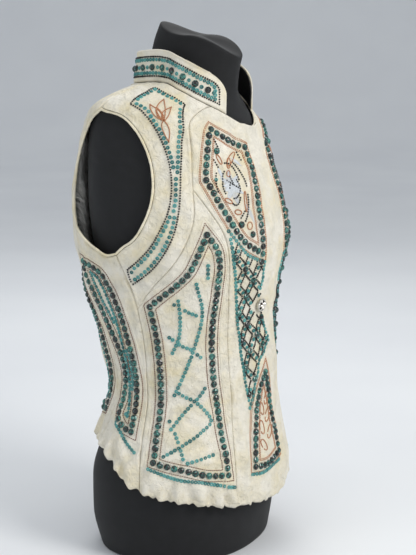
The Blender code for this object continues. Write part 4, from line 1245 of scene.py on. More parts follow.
def border(sides, sign, distance):
    """Line beside a closed row, distance to its left, with sharp corners.

    Each side is lengthened straight by 24 mm past both ends and moved over. Two neighbours are then cut
    where they cross.
    """
    corner = 24
    reach = np.arange(1, corner + 1)[:, None] / 2
    lines = []
    for side in sides:
        path = fine_path(side) * (sign, 1.0)
        run = run_of(path)
        p = at_runs(path, run, np.linspace(0, run[-1], max(2 * corner, round(run[-1] / MM)) + 1))
        before = p[0] + reach[::-1] * (p[0] - p[2])
        after = p[-1] + reach * (p[-1] - p[-3])
        lines.append(beside(np.vstack([before, p, after]), distance))
    joints = [joint(line, lines[(i + 1) % len(lines)], corner) for i, line in enumerate(lines)]
    parts = [np.vstack([joints[i - 1][2], line[joints[i - 1][1]:joints[i][0]]])
             for i, line in enumerate(lines)]
    return np.vstack(parts + [parts[0][:1]])


def borders(sides, sign, distance):
    """The lines inside and outside a closed row, the inner one first."""
    return sorted((border(sides, sign, way * distance) for way in (1, -1)), key=lambda line: run_of(line)[-1])


def gaps(places, others):
    """Distance of each place from the nearest of the others."""
    here, there = vest_point(*places.T), vest_point(*others.T)
    return np.linalg.norm(here[:, None] - there[None], axis=-1).min(axis=1)


def spaced(places, distance):
    """Places that keep a distance from all the kept ones before them."""
    real = vest_point(*places.T)
    apart = np.linalg.norm(real[:, None] - real[None], axis=-1)
    kept = []
    for i in range(len(places)):
        if not kept or apart[i, kept].min() >= distance:
            kept.append(i)
    return places[kept]


def inside(points, outline):
    """Which points lie inside the closed outline, by counting crossings."""
    x, y = points.T
    hit = np.zeros(len(points), bool)
    for (ax, ay), (bx, by) in zip(outline, np.roll(outline, -1, axis=0)):
        if ay != by:
            hit ^= ((ay > y) != (by > y)) & (x < (bx - ax) * (y - ay) / (by - ay) + ax)
    return hit


def frames_at(places, place, along=None):
    """Origin, forward, sideways and outward directions at places on the cloth."""
    a, s = places.T
    origin = place(a, s)
    outward = normals(a, s)
    by_a, by_s = form_slopes(a, s)
    if along is None:
        along = np.tile((0.0, 1.0), (len(places), 1))
    forward = unit(along[:, :1] * by_a + along[:, 1:] * by_s)
    return origin, forward, np.cross(outward, forward), outward


def scatter(name, template, origin, forward, sideways, outward, material, size=None, tone=None, flat=False):
    """Copies of a small shape joined in one mesh, each set in its own frame and scaled by size.

    tone is a column of one value a copy, or a table of one value for each point of each copy.
    """
    shape, faces = template
    n, count = len(shape), len(origin)
    size = np.ones((count, 3)) if size is None else size
    local = shape[None] * size[:, None]
    points = (origin[:, None] + local[..., :1] * forward[:, None] + local[..., 1:2] * sideways[:, None]
              + local[..., 2:] * outward[:, None]).reshape(-1, 3)
    joined = [(f[None] + (np.arange(count) * n)[:, None, None]).reshape(-1, f.shape[1]) for f in faces]
    attributes = [] if tone is None else [("tone", np.broadcast_to(tone, (count, n)).reshape(-1))]
    return build_mesh(name, points, joined, material, not flat, attributes)


def turned_shape(profile, sides, twist=0.0, ring=False):
    """Shape turned from (radius, height) rows, each row twisted a little on.

    A ring's last row is joined to its first; any other shape is closed by a flat foot and a fan on top.
    """
    r, h = np.array(profile).T
    t = np.linspace(0, 2 * math.pi, sides, endpoint=False)[None] + twist * np.arange(len(r))[:, None]
    rows = np.stack([r[:, None] * np.cos(t), r[:, None] * np.sin(t),
                     np.broadcast_to(h[:, None], t.shape)], -1)
    points = rows.reshape(-1, 3)
    faces = [grid_faces(len(r), sides, wrap_rows=ring, wrap_columns=True)]
    if not ring:
        points = np.vstack([points, [[0, 0, h[-1] + 0.15 * r[-1]]]])
        last = (len(r) - 1) * sides
        i = np.arange(sides)
        faces.append(np.stack([last + i, last + (i + 1) % sides, np.full(sides, len(points) - 1)], -1))
        faces.append(i[::-1][None])
    return points, faces


def bead_shape(radius, rise):
    """Pointed pressed bead: an eight-sided girdle, two rows of slanting facets and a small blunt tip."""
    return turned_shape([(0.90 * radius, -0.2 * MM), (radius, 0.26 * rise), (0.74 * radius, 0.66 * rise),
                         (0.30 * radius, 0.93 * rise)], 8, math.pi / 8)


def ring_shape(radius):
    """Ring stud: a flat eight-sided ring with an open middle."""
    return turned_shape([(0.92 * radius, -0.2 * MM), (radius, 0.25 * radius), (0.80 * radius, 0.55 * radius),
                         (0.36 * radius, 0.44 * radius), (0.24 * radius, -0.2 * MM)], 8, ring=True)


def seed_shape(radius):
    """Seed bead: a low six-sided dome."""
    return turned_shape([(0.9 * radius, -0.2 * MM), (radius, 0.5 * radius), (0.55 * radius, 1.1 * radius)], 6)


def stitch_shape(length, radius):
    """One stitch: a short four-sided strand that dips into the leather at both ends."""
    x = np.array([-0.5, -0.3, 0.3, 0.5]) * length
    z = np.array([-0.4, 0.5, 0.5, -0.4]) * radius
    wide = np.array([0.3, 1.0, 1.0, 0.3]) * radius
    t = np.radians([45, 135, 225, 315])
    points = np.stack([np.broadcast_to(x[:, None], (4, 4)), wide[:, None] * np.cos(t),
                       z[:, None] + wide[:, None] * np.sin(t)], -1).reshape(-1, 3)
    ends = np.array([[3, 2, 1, 0], [12, 13, 14, 15]])
    return points, [grid_faces(4, 4, wrap_columns=True), ends]


def tangents(path, closed=False):
    if closed:
        return np.roll(path, -1, axis=0) - np.roll(path, 1, axis=0)
    return np.gradient(path, axis=0)


def both_halves(rows, place_right=skin_right):
    """Rows of the right half and their mirror images, each with its outer face."""
    return [(row, place_right) for row in rows] + [(mirrored(row), skin) for row in rows]


def hidden_by_lap(places):
    """Places of the left front that the right front covers."""
    edge = fine_path(RIGHT_EDGE)
    order = np.argsort(edge[:, 1])
    return places[:, 0] > np.interp(places[:, 1], edge[order, 1], edge[order, 0]) - LAP_MARGIN


class Basket:
    """Gathers the frames of one kind of small piece before they are joined in one mesh."""

    def __init__(self):
        self.places = []

    def add(self, places, place, along=None):
        if len(places):
            origin, forward, sideways, outward = frames_at(places, place, along)
            self.places.append(np.stack([origin, forward, sideways, outward], axis=1))

    def joined(self):
        every = np.concatenate(self.places)
        return every[:, 0], every[:, 1], every[:, 2], every[:, 3]


def bead_rows():
    """Closed rows of large beads: their sides, 1 or -1 for the half, and their outer face.

    The wedge of the left front lies under the lap, so it is left out.
    """
    return [(DIAMOND, 1.0, skin_right), (WEDGE, 1.0, skin_right), (HOURGLASS, 1.0, skin), (LEAF, 1.0, skin),
            (BACK_ROW, 1.0, skin), (DIAMOND, -1.0, skin), (HOURGLASS, -1.0, skin), (LEAF, -1.0, skin)]


def bead_places(sides, sign):
    """Places of the large beads of one closed row, corner to corner, as the solids have them."""
    return np.vstack([even_points(fine_path(side) * (sign, 1.0), BEAD_PITCH, ends=False) for side in sides])


def trellis_outline():
    """Closed outline of the trellis."""
    top, front, low, side = (fine_path(part) for part in TRELLIS)
    return np.vstack([top, front[1:], low, side[1:-1]])


def trellis_parts():
    """Crossings, band rings and black lines of the trellis, all within its outline.

    A band follows each mesh line; its two black lines stop where the other bands cross it, and two rings
    stand in it between each two crossings.
    """
    down, over = np.array(MESH_DOWN), np.array(MESH_OVER)
    outline = trellis_outline()
    i, j = np.meshgrid(np.arange(-4, 12), np.arange(-8, 12), indexing="ij")
    corner = np.array(MESH_CORNER) + i[..., None] * down + j[..., None] * over
    nodes = corner.reshape(-1, 2)
    scale = np.array([TRELLIS_DEGREE, 1.0])
    d, o = down * scale, over * scale
    rings, lines, ways = [], [], []
    for way, other in ((d, o), (o, d)):
        length = np.linalg.norm(way)
        side = np.array([-way[1], way[0]]) / length
        slant = abs(side @ other) / np.linalg.norm(other)
        clear = MESH_BAND / slant / length
        for share in (1 / 3, 2 / 3):
            rings.append(nodes + share * way / scale)
        count = max(2, round((1 - 2 * clear) * length / (2.9 * MM)) + 1)
        share = np.linspace(clear * 1.02, 1 - clear * 1.02, count)
        for sense in (1, -1):
            dots = nodes[:, None] + (share[:, None] * way + sense * MESH_BAND * side)[None] / scale
            lines.append(dots.reshape(-1, 2))
            ways.append(np.tile(way / scale, (len(lines[-1]), 1)))
    rings, lines, ways = np.vstack(rings), np.vstack(lines), np.vstack(ways)
    keep = inside(lines, outline)
    return nodes[inside(nodes, outline)], rings[inside(rings, outline)], lines[keep], ways[keep]


def curve_about(centre, across, up, start, stop, lean=0.0):
    """Part of an ellipse about a place: half sizes in metres, start, stop and lean in degrees."""
    t = np.radians(np.linspace(start, stop, 80))
    x, y = across * np.cos(t), up * np.sin(t)
    c, d = math.cos(math.radians(lean)), math.sin(math.radians(lean))
    return np.array(centre) + np.stack([c * x - d * y, d * x + c * y], 1) / (ORNAMENT_DEGREE, 1.0)


def petal(foot, lean, length, wide):
    """Two curved sides of a pointed petal from its foot, leaning lean degrees up from the a direction."""
    t = np.linspace(0, 1, 50)
    c, d = math.cos(math.radians(lean)), math.sin(math.radians(lean))
    sides = []
    for sense in (1, -1):
        x, y = t * length, sense * wide * np.sin(math.pi * t ** 0.8)
        sides.append(np.array(foot) + np.stack([c * x - d * y, d * x + c * y], 1) / (PETAL_DEGREE, 1.0))
    return sides


def medallion():
    """Generic ornament of the diamond: a rosette in arcs of dots, with drops and petals about it.

    Gives rows of black dots, rows of copper stitches, petals of white satin stitch, rings and large beads.
    """
    black = [curve_about(MEDALLION_AT, *arc) for arc in BLACK_ARCS]
    black += [np.linspace(first, last, 40) for first, last in BLACK_LINES]
    copper = [curve_about((LOOPS_AT[0] + x, LOOPS_AT[1] + y), across, up, 0, 360, lean)
              for x, y, across, up, lean in COPPER_LOOPS]
    satin = [petal(*row) for row in SATIN_PETALS]
    return black, copper, satin, np.array(ORNAMENT_RINGS), np.array(ORNAMENT_BEADS)


def sprig():
    """Generic copper sprig of the shield: four pointed petals over a stem."""
    return [side for row in SPRIG_PETALS for side in petal(SPRIG_AT, *row)]


def scrolls():
    """Generic copper scrolls of the wedge: leaning loops one over the other."""
    return [curve_about(place, *SCROLL_SIZE, 0, 330, lean) for place, lean in SCROLLS]


def back_rings():
    """Traditional rows of rings on the back: a chain of lozenges down its middle and an inner outline."""
    s = np.linspace(0.235, 0.425, 240)
    wave = np.abs(np.sin((s - 0.235) / 0.190 * 3 * math.pi))
    rows = [np.stack([180 + 9.0 * wave, s], 1), np.stack([180 - 9.0 * wave, s], 1)]
    rows += [np.linspace((146, 0.235), (166, 0.250), 60), np.linspace((214, 0.235), (194, 0.250), 60)]
    return rows


def collar_frame(kind):
    """Closed line of a framed row on the collar, by (degrees, height), with round corners at its top."""
    high = COLLAR_HEIGHT - kind.top
    end = COLLAR_END + kind.edge / COLLAR_DEGREE
    reach = kind.corner / COLLAR_DEGREE
    t = np.radians(np.linspace(0, 90, 30))
    rise = np.stack([end + reach * (1 - np.cos(t)), high - kind.corner * (1 - np.sin(t))], 1)
    top = np.linspace((end + reach, high), (360 - end - reach, high), 400)
    fall = rise[::-1] * (-1.0, 1.0) + (360.0, 0.0)
    bottom = np.linspace((360 - end, kind.low), (end, kind.low), 400)
    return np.vstack([[(end, kind.low)], rise, top[1:], fall[1:], bottom])


def tilted(forward, outward, draw):
    """Directions that lean a little at random, as beads sewn on by hand do: forward, sideways, outward."""
    tilt = unit(outward + BEAD_TILT * draw.normal(size=outward.shape))
    forward = unit(forward - (forward * tilt).sum(1)[:, None] * tilt)
    return forward, np.cross(tilt, forward), tilt


class VEST_OT_beadwork(bpy.types.Operator):
    """Sew on the large beads, ring studs, seed beads and small white beads"""

    bl_idname = "vest.beadwork"
    bl_label = "Beadwork"

    def execute(self, context):
        sizes, c = context.scene.vest_sizes, context.scene.vest_colours
        large, rings, seeds, pearls = Basket(), Basket(), Basket(), Basket()

        for sides, sign, place in bead_rows():
            centres = bead_places(sides, sign)
            large.add(centres, place, tangents(centres, True))
            middle = 0.5 * (centres + np.roll(centres, -1, axis=0))
            ahead = np.roll(centres, -1, axis=0) - centres
            _, by_a, by_s = flat_metric(middle[:, 0], middle[:, 1])
            forward = unit(ahead[:, :1] * by_a + ahead[:, 1:] * by_s)
            across = np.cross(normals(middle[:, 0], middle[:, 1]), forward)
            for sense in (1, -1):
                pearls.add(moved(middle, sense * PEARL_OFFSET * across), place, ahead)

        black, _, _, studs, loose = medallion()
        for row, place in both_halves(black):
            p = even_points(row, SEED_PITCH)
            seeds.add(p, place, tangents(p))
        for basket, spots in ((rings, studs), (large, loose)):
            for at, place in both_halves([spots]):
                basket.add(at, place)

        self.band(rings, seeds)
        self.trellis(large, rings, seeds)
        self.short_rows(rings)
        self.collar(large, rings, seeds)

        draw = np.random.default_rng(7)
        origin, forward, sideways, outward = large.joined()
        turn = draw.uniform(0, 2 * math.pi, len(origin))[:, None]
        spun = np.cos(turn) * forward + np.sin(turn) * sideways
        ways = tilted(spun, outward, draw)
        shape = bead_shape(sizes.bead_radius, sizes.bead_rise)
        tone = (0.45 * draw.uniform(0, 1, (len(origin), 1))
                + 0.55 * draw.uniform(0, 1, (len(origin), len(shape[0]))))
        size = draw.uniform(0.94, 1.04, (len(origin), 1)) * (1, 1, 1)
        dress(scatter("large_pointed_beads", shape, origin, *ways, variegated_glass(c), size, tone,
                      flat=True))
        origin, forward, _, outward = rings.joined()
        ways = tilted(forward, outward, draw)
        tone = draw.uniform(0, 1, (len(origin), 1))
        size = draw.uniform(0.92, 1.06, (len(origin), 1)) * (1, 1, 1)
        dress(scatter("turquoise_ring_studs", ring_shape(sizes.ring_radius), origin, *ways, turquoise_ring(c),
                      size, tone))
        frames = seeds.joined()
        size = draw.uniform(0.9, 1.1, (len(frames[0]), 1)) * (1, 1, 1)
        dress(scatter("black_seed_beads", seed_shape(sizes.seed_radius), *frames,
                      plain_glass("black_pressed_glass", c.seed, 0.25, linear("#1A1A1C")), size))
        dress(scatter("small_white_beads", seed_shape(sizes.pearl_radius), *pearls.joined(),
                      plain_glass("white_pressed_glass", c.pearl, 0.3, linear("#E4DFD0"))))
        return {"FINISHED"}

    def band(self, rings, seeds):
        """Black dots on both edges of the armhole band, with rings along them or down its narrow middle."""
        outer = np.vstack([fine_path(BAND_OUTER[:2])[:-1], fine_path(BAND_OUTER[1:])])
        inner = fine_path(BAND_INNER)
        end = np.linspace(outer[-1], inner[-1], 30)
        shoulder = np.linspace(inner[0], outer[0], 60)
        for sign in (1.0, -1.0):
            sides = [part * (sign, 1.0) for part in (outer[:400], outer[399:], end, inner[::-1], shoulder)]
            outline = np.vstack(sides)
            row = spaced(even_points(outline, BAND_SEED_PITCH, ends=False), BAND_SEED_GAP)
            seeds.add(row, skin, tangents(row, True))
            run = run_of(outline)
            close = at_runs(outline, run, np.arange(0, run[-1], MM))
            both = [beside(close, way * BAND_INSET) for way in (1, -1)]
            near = min(both, key=lambda line: run_of(line)[-1])
            near = near[gaps(near, outline) > BAND_CLEAR]
            near = even_points(near, BAND_RING_PITCH, ends=False)
            near = near[(near[:, 1] < BAND_NARROW[0]) | (near[:, 1] > BAND_NARROW[1])]
            middle = even_points(fine_path(BAND_MIDDLE) * (sign, 1.0), BAND_RING_PITCH)
            rings.add(spaced(np.vstack([middle, near]), BAND_RING_GAP), skin)

    def trellis(self, large, rings, seeds):
        """Beads, rings and black lines of the trellis, with rings round its rim and room for the button."""
        nodes, dots, lines, ways = trellis_parts()
        rim = spaced(np.vstack([even_points(fine_path(part), RIM_PITCH) for part in TRELLIS]), RIM_GAP)
        nodes = nodes[gaps(nodes, rim) > RIM_TO_BEAD]
        dots = dots[gaps(dots, rim) > RIM_TO_RING]
        far = gaps(lines, rim) > RIM_TO_SEED
        lines, ways = lines[far], ways[far]
        upright = (0.0, 1.0)
        for sign, place in ((1.0, skin_right), (-1.0, skin)):
            for basket, spots, along in ((large, nodes, upright), (rings, dots, upright),
                                         (rings, rim, upright), (seeds, lines, ways)):
                at = spots * (sign, 1.0)
                way = np.broadcast_to(along, spots.shape) * (sign, 1.0)
                shown = gaps(at, np.array([BUTTON_AT])) > BUTTON_CLEAR if sign > 0 else ~hidden_by_lap(at)
                basket.add(at[shown], place, way[shown])

    def short_rows(self, rings):
        """Rings below and inside the bead rows, on the back and in the hourglass strands."""
        rows = [(row, skin, SHORT_PITCH) for half in (UNDER_HOURGLASS, UNDER_LEAF)
                for row in (fine_path(half), mirrored(fine_path(half)))]
        rows.append((fine_path(UNDER_WEDGE), skin_right, SHORT_PITCH))
        rows += [(row, skin, BACK_PITCH) for row in back_rings()]
        rows += [(borders(LEAF, sign, LEAF_INSET)[0], skin, LEAF_PITCH) for sign in (1.0, -1.0)]
        rows.append((borders(BACK_ROW, 1.0, BACK_INSET)[0], skin, BACK_PITCH))
        for row, place, pitch in rows:
            rings.add(spaced(even_points(row, pitch), 0.8 * pitch), place)
        strands = np.vstack([even_points(fine_path(strand), STRAND_PITCH) for strand in STRANDS])
        for row, place in both_halves([spaced(strands, STRAND_GAP)], skin):
            rings.add(row, place)

    def collar(self, large, rings, seeds):
        """Studs, rings and black dots of the collar, each placed on its outer face by (degrees, height)."""
        def put(basket, places, along):
            a, h = places.T
            da, dh = 0.3, 0.5 * MM
            by_a = (collar_point(a + da, h) - collar_point(a - da, h)) / (2 * da)
            by_h = (collar_point(a, h + dh) - collar_point(a, h - dh)) / (2 * dh)
            forward = unit(along[:, :1] * by_a + along[:, 1:] * by_h)
            outward = unit(np.cross(by_h, by_a))
            origin = collar_point(a, h, np.full(len(a), CLOTH_WALL))
            basket.places.append(np.stack([origin, forward, np.cross(outward, forward), outward], axis=1))

        level = STUD_LEVEL * COLLAR_HEIGHT
        line = np.linspace((COLLAR_END, level), (360 - COLLAR_END, level), 1000)
        run = run_of(line, collar_point)
        first = np.interp(STUDS_FROM, line[:, 0], run)
        count = round((run[-1] - 2 * first) / STUD_PITCH)
        pitch = (run[-1] - 2 * first) / count
        for basket, start, more in ((large, first, 1), (rings, first - pitch / 2, 2)):
            p = at_runs(line, run, start + pitch * np.arange(count + more))
            put(basket, p, np.tile((1.0, 0.0), (len(p), 1)))

        for kind, basket in ((COLLAR_SEEDS, seeds), (COLLAR_RINGS, rings)):
            row = collar_frame(kind)
            run = run_of(row, collar_point)
            p = at_runs(row, run, np.linspace(0, run[-1], round(run[-1] / kind.pitch), endpoint=False))
            put(basket, p, tangents(p, True))


class VEST_OT_stitching(bpy.types.Operator):
    """Sew the brown and copper outline stitches and the copper embroidery"""

    bl_idname = "vest.stitching"
    bl_label = "Stitching"

    def execute(self, context):
        sizes, c = context.scene.vest_sizes, context.scene.vest_colours
        radius = sizes.thread_radius
        brown = thread("brown_two_ply_silk", c.brown, linear("#8A5636"))
        copper = thread("copper_two_ply_silk", c.copper, linear("#A9683F"))
        white = thread("white_satin_stitch_silk", c.satin, linear("#C9CED2"))

        dark, light, strands = Basket(), Basket(), Basket()
        for sides, sign, place in bead_rows():
            double = sides in (DIAMOND, WEDGE)
            for distance in DOUBLE_STITCH if double else SINGLE_STITCH:
                for line in borders(sides, sign, distance):
                    p = even_points(line, STITCH_PITCH, ends=False)
                    (light if double else dark).add(p, place, tangents(p, True))
        _, loops, satin, _, _ = medallion()
        rows = both_halves(loops) + both_halves(sprig(), skin) + [(row, skin_right) for row in scrolls()]
        for row, place in rows:
            p = even_points(row, COPPER_PITCH)
            strands.add(p, place, tangents(p))
        for name, basket, length, thick, material in (
                ("brown_outline_stitches", dark, STITCH_LENGTH, radius, brown),
                ("copper_outline_stitches", light, STITCH_LENGTH, 0.9 * radius, copper),
                ("copper_embroidery", strands, COPPER_LENGTH, 1.25 * radius, copper)):
            dress(scatter(name, stitch_shape(length, thick), *basket.joined(), material))

        fill, widths = Basket(), []
        rungs = np.linspace(0.06, 0.94, 22)
        for sides in satin:
            runs = [run_of(side) for side in sides]
            one, other = (at_runs(side, run, rungs * run[-1]) for side, run in zip(sides, runs))
            for (left, place), (right, _) in zip(both_halves([one]), both_halves([other])):
                fill.add(0.5 * (left + right), place, right - left)
                widths.append(np.linalg.norm(place(*left.T) - place(*right.T), axis=1))
        size = np.concatenate(widths)[:, None] * (1 / MM, 0, 0) + (0, 1, 1)
        dress(scatter("white_satin_petals", stitch_shape(MM, 0.8 * radius), *fill.joined(), white, size=size))
        return {"FINISHED"}


class VEST_OT_tucks(bpy.types.Operator):
    """Raise the narrow tucks of leather round the rows of large beads"""

    bl_idname = "vest.tucks"
    bl_label = "Leather tucks"

    def execute(self, context):
        c = context.scene.vest_colours
        cream = leather("tucked_sheepskin", c, c.leather, 0.6)
        points, faces, first = [], [], 0
        for sides, sign, place in bead_rows():
            row = even_points(borders(sides, sign, TUCK_OFFSET)[1], 2.4 * MM, ends=False)
            outward = normals(*row.T)
            cord, quads = sweep(place(*row.T) - TUCK_SINK * outward, outward, TUCK_RADIUS, 8, True)
            points.append(cord)
            faces.append(quads + first)
            first += len(cord)
        dress(build_mesh("leather_tucks", np.vstack(points), faces, cream))
        return {"FINISHED"}


class VEST_OT_button(bpy.types.Operator):
    """Cast the domed silver button"""

    bl_idname = "vest.button"
    bl_label = "Button"

    def execute(self, context):
        c = context.scene.vest_colours
        a, s = np.array([BUTTON_AT[0]]), np.array([BUTTON_AT[1]])
        foot = vest_point(a, s, LAP_RISE + CLOTH_WALL + BUTTON_GAP)[0]
        axis = normals(a, s)[0]
        side = unit(np.cross(axis, (0.0, 0.0, 1.0)))
        up = np.cross(axis, side)
        t = np.linspace(0, 2 * math.pi, 96, endpoint=False)[None]
        dome = np.linspace(0, 1, 30)
        share = np.concatenate([[0.0, 0.0, 0.0], dome])[:, None]
        radius = np.concatenate([[0.90, 0.985, 1.0], np.cos(dome * math.pi / 2)])[:, None]
        height = np.concatenate([[0.0, 0.10, 0.34], 0.36 + 0.64 * np.sin(dome * math.pi / 2)])[:, None]
        knot = 1.6 * np.sin(3 * t + 6 * share) * np.sin(-3 * t + 6 * share)
        rim = np.exp(-((share - 0.08) / 0.05) ** 2)
        faded = knot * step(share * 6) * step((1 - share) * 5)
        relief = np.where(share > 0, 0.5 + 0.5 * faded, 0.6) + 0.6 * rim
        relief = np.broadcast_to(relief, (len(share), 96))
        high = BUTTON_DOME * (height - 0.22 * (1 - relief) * step(share * 8)) * np.ones_like(t)
        wide = BUTTON_RADIUS * radius * (1 - 0.03 * (1 - relief) * step(share * 8))
        points = (foot + high[..., None] * axis + (wide * np.cos(t))[..., None] * side
                  + (wide * np.sin(t))[..., None] * up).reshape(-1, 3)
        rows = len(share)
        faces = [grid_faces(rows, 96, wrap_columns=True), np.arange(95, -1, -1)[None],
                 ((rows - 1) * 96 + np.arange(96))[None]]
        item = build_mesh("cast_silver_button", points, faces, worn_silver(c),
                          attributes=[("relief", np.clip(relief, 0, 1).reshape(-1))])
        dress(item, ["button"])
        return {"FINISHED"}


class VEST_OT_fleece(bpy.types.Operator):
    """Comb out the locks of wool inside the armholes"""

    bl_idname = "vest.fleece"
    bl_label = "Fleece"

    def execute(self, context):
        sizes = context.scene.vest_sizes
        draw = np.random.default_rng(11)
        a = np.concatenate([draw.uniform(LOCKS_SPLIT, LOCKS_TO, LOCKS_BACK),
                            draw.uniform(LOCKS_FROM, LOCKS_SPLIT, LOCKS_UNDER)])
        s = np.concatenate([draw.uniform(0.465, 0.640, LOCKS_BACK),
                            0.432 + 0.05 * draw.uniform(0, 1, LOCKS_UNDER)])
        under = smooth(a, ARMHOLE_UNDER)
        keep = (a > LOCKS_SPLIT) | (s < under - 2 * MM)
        a, s = a[keep], s[keep]
        a = np.concatenate([a, -a])
        s = np.concatenate([s, s])
        root = vest_point(a, s)
        inward = -normals(a, s)
        reach = ease_at(a, s) * (0.35 + 0.45 * step((0.60 - s) / 0.04)) * draw.uniform(0.5, 1.0, len(a))
        _, by_a, by_s = flat_metric(a, s)
        down = unit(-by_s)
        around = unit(by_a)
        length = sizes.lock_length * draw.uniform(0.5, 1.1, len(a))
        swing = draw.normal(0, 0.35, len(a))
        t = np.linspace(0, 1, 5)[None, :, None]
        fall = unit(down + swing[:, None] * around)
        path = (root[:, None] + inward[:, None] * (reach[:, None, None] * t * (1.8 - 0.8 * t))
                + fall[:, None] * (length[:, None, None] * t ** 1.3)
                + around[:, None] * (0.002 * np.sin(6 * t + draw.uniform(0, 6, len(a))[:, None, None])))
        thick = draw.uniform(0.6, 1.2, len(a))[:, None, None]
        wide = np.array([1.4, 1.4, 1.2, 0.8, 0.1])[None, :, None] * MM * thick
        side = around[:, None] * wide
        ridge = inward[:, None] * 0.6 * wide
        points = np.stack([path + side, path + ridge, path - side], axis=2)
        n = len(a)
        base = (np.arange(n) * 15)[:, None, None]
        strip = grid_faces(5, 3, wrap_columns=True)
        caps = (np.array([[2, 1, 0], [12, 13, 14]])[None] + base).reshape(-1, 3)
        faces = (strip[None] + base).reshape(-1, 4)
        tone = draw.uniform(0, 1, (n, 1)) * 0.5 + np.repeat(np.linspace(0.0, 0.5, 5), 3)[None]
        item = build_mesh("wool_locks", points.reshape(-1, 3), [faces, caps], wool(),
                          attributes=[("tone", tone.reshape(-1))])
        dress(item)
        return {"FINISHED"}


class VEST_OT_dress_form(bpy.types.Operator):
    """Stretch the black jersey over the dress form"""

    bl_idname = "vest.dress_form"
    bl_label = "Dress form"

    def execute(self, context):
        c = context.scene.vest_colours
        sides = FORM_SIDES
        a = np.linspace(0, 360, sides, endpoint=False)[None]
        s = np.linspace(0.0, RINGS[-1].s, FORM_ROWS)[:, None]
        aa, ss = np.broadcast_arrays(a, s)
        points = form_point(aa, ss)
        outward = normals(aa, ss)
        turn = turned(aa)
        span = step((turn - 76) / 6) * step((118 - turn) / 6)
        fold = np.exp(-((ss - FOLD_AT) / FOLD_WIDE) ** 2)
        fold = fold - 0.9 * np.exp(-((ss - FOLD_AT + 7 * MM) / FOLD_WIDE) ** 2)
        line = smooth(ss, JERSEY_SEAM)
        seam = np.exp(-((turn - line) * FORM_DEGREE / (1.3 * MM)) ** 2) * step((ss - 0.545) / 0.01)
        relief = 1.3 * MM * fold * span - 0.9 * MM * seam * step((0.655 - ss) / 0.01)
        points = points + outward * relief[..., None]
        crown = points[-1].mean(axis=0) + (0.0, 0.0, 0.004)
        foot = points[0].mean(axis=0) * (1.0, 1.0, 0.0)
        shares = np.array([0.985, 0.955, 0.90, 0.72, 0.45, 0.2])[:, None, None]
        lifts = np.array([0.0012, 0.0020, 0.0026, 0.0034, 0.0038, 0.0040])[:, None, None] * (0, 0, 1.0)
        cap = crown * (1, 1, 1) - (0, 0, 0.004) + (points[-1][None] - crown + (0, 0, 0.004)) * shares + lifts
        under_shares = np.array([0.3, 0.7, 0.97])[:, None, None]
        under = foot + (points[0][None] - foot) * under_shares
        under[..., 2] = 0.0
        grid = np.concatenate([under, points[:1] * (0.993, 0.993, 1.0), points[1:], cap])
        grid[3] = foot + (form_point(a[0], np.zeros(sides)) - foot) * 0.995 + (0, 0, 0.0006)
        rows = len(grid)
        every = np.vstack([grid.reshape(-1, 3), foot[None], crown[None]])
        i = np.arange(sides)
        j = (i + 1) % sides
        low = np.stack([np.full(sides, rows * sides), j, i], 1)
        top = np.stack([np.full(sides, rows * sides + 1), (rows - 1) * sides + i, (rows - 1) * sides + j], 1)
        faces = [grid_faces(rows, sides, wrap_columns=True, flip=True), low[:, ::-1], top[:, ::-1]]
        item = build_mesh("jersey_dress_form", every, faces, black_jersey(c))
        dress(item, ["dress_form"])
        return {"FINISHED"}


def area_light(name, position, target, size, power, colour):
    lamp = bpy.data.lights.new(name, "AREA")
    lamp.shape = "DISK"
    lamp.size = size
    lamp.energy = power
    lamp.color = colour
    item = bpy.data.objects.new(name, lamp)
    item.location = position
    item.rotation_mode = "QUATERNION"
    item.rotation_quaternion = (Vector(target) - Vector(position)).to_track_quat("-Z", "Y")
    bpy.context.scene.collection.objects.link(item)
    return item


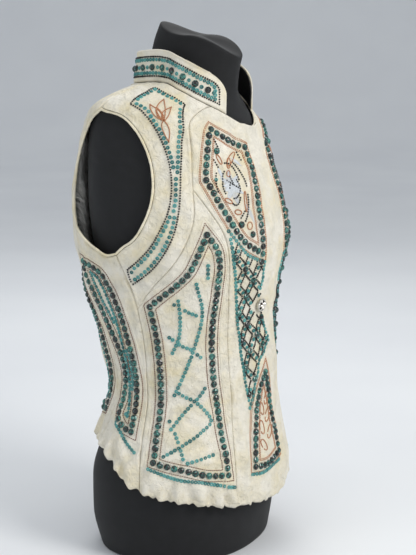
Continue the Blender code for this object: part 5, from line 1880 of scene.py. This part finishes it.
class VEST_OT_stage(bpy.types.Operator):
    """Lay the floor, hang the soft lights and set the camera"""

    bl_idname = "vest.stage"
    bl_label = "Stage"

    def execute(self, context):
        c = context.scene.vest_colours
        bend = np.radians(np.arange(10.0, 91.0, 10.0))
        r = np.concatenate([np.linspace(0, FLOOR_REACH, 9), FLOOR_REACH + FLOOR_BEND * np.sin(bend),
                            [FLOOR_REACH + FLOOR_BEND]])[:, None]
        up = np.concatenate([np.zeros(9), FLOOR_BEND * (1 - np.cos(bend)), [BACKDROP_TOP]])[:, None]
        up = up - FLOOR_DROP
        t = np.linspace(0, 2 * math.pi, FLOOR_SIDES, endpoint=False)[None]
        bowl = np.stack([r * np.cos(t), r * np.sin(t), up + 0 * t], -1)
        i = np.arange(FLOOR_SIDES)
        rim = grid_faces(len(r) - 1, FLOOR_SIDES, wrap_columns=True, flip=True) + 1
        middle = np.stack([0 * i, 1 + i, 1 + (i + 1) % FLOOR_SIDES], 1)
        floor = build_mesh("studio_floor", bowl.reshape(-1, 3)[FLOOR_SIDES - 1:], [rim, middle],
                           studio_floor(c))
        scene = context.scene
        scene.world = bpy.data.worlds.new("pale_studio_air")
        scene.world.use_nodes = True
        sky = scene.world.node_tree.nodes["Background"]
        sky.inputs["Color"].default_value = (*linear("#DCDFE2"), 1.0)
        sky.inputs["Strength"].default_value = 0.92
        turn = math.radians(VIEW_TURN)
        back = np.array([math.sin(turn), -math.cos(turn), 0.0])
        right = np.array([math.cos(turn), math.sin(turn), 0.0])
        target = (0.0, 0.0, 0.40)
        for name, place, width, power, colour in (
                ("key_light", back * 1.5 + right * 1.7 + (0, 0, 1.9), 1.1, 40, (1.0, 0.98, 0.95)),
                ("fill_light", back * 1.6 - right * 2.2 + (0, 0, 1.3), 1.8, 11, (0.96, 0.98, 1.0)),
                ("rim_light", -back * 1.8 + (0, 0, 2.1), 1.5, 16, (1.0, 1.0, 1.0))):
            area_light(name, tuple(place), target, width, power, colour)
        lens = bpy.data.cameras.new("camera")
        lens.sensor_width = SENSOR_WIDTH
        lens.lens = SENSOR_WIDTH * FOCAL_PIXELS / PHOTO_HEIGHT
        lens.clip_end = 100.0
        camera = bpy.data.objects.new("camera", lens)
        scene.collection.objects.link(camera)
        camera.location = tuple(back * CAMERA_BACK + (0, 0, CAMERA_HEIGHT) + right * CAMERA_ASIDE)
        tilt = math.radians(CAMERA_TILT)
        look = Vector(tuple(-back * math.cos(tilt) - np.array((0, 0, 1.0)) * math.sin(tilt)))
        camera.rotation_mode = "QUATERNION"
        camera.rotation_quaternion = look.to_track_quat("-Z", "Y")
        scene.camera = camera
        scene.view_settings.view_transform = "Standard"
        return {"FINISHED"}


class VEST_PT_pieces(bpy.types.Panel):
    """Pieces, sizes and colours of the vest"""

    bl_idname = "VEST_PT_pieces"
    bl_label = "Beaded vest"
    bl_space_type = "VIEW_3D"
    bl_region_type = "UI"
    bl_category = "Vest"

    def draw(self, context):
        for group in (context.scene.vest_sizes, context.scene.vest_colours):
            box = self.layout.box()
            for name in group.__annotations__:
                box.prop(group, name)
        for step_class in STEPS:
            self.layout.operator(step_class.bl_idname)


STEPS = (VEST_OT_leather, VEST_OT_collar, VEST_OT_bindings, VEST_OT_tucks, VEST_OT_beadwork,
         VEST_OT_stitching, VEST_OT_button, VEST_OT_fleece, VEST_OT_dress_form, VEST_OT_stage)
CLASSES = (VestSizes, VestColours) + STEPS + (VEST_PT_pieces,)


def register():
    for item in CLASSES:
        bpy.utils.register_class(item)
    bpy.types.Scene.vest_sizes = bpy.props.PointerProperty(type=VestSizes)
    bpy.types.Scene.vest_colours = bpy.props.PointerProperty(type=VestColours)


def unregister():
    del bpy.types.Scene.vest_sizes
    del bpy.types.Scene.vest_colours
    for item in reversed(CLASSES):
        bpy.utils.unregister_class(item)


def main():
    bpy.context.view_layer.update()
    register()
    bpy.ops.vest.leather()
    bpy.ops.vest.collar()
    bpy.ops.vest.bindings()
    bpy.ops.vest.tucks()
    bpy.ops.vest.beadwork()
    bpy.ops.vest.stitching()
    bpy.ops.vest.button()
    bpy.ops.vest.fleece()
    bpy.ops.vest.dress_form()
    bpy.ops.vest.stage()


if __name__ == "__main__":
    main()
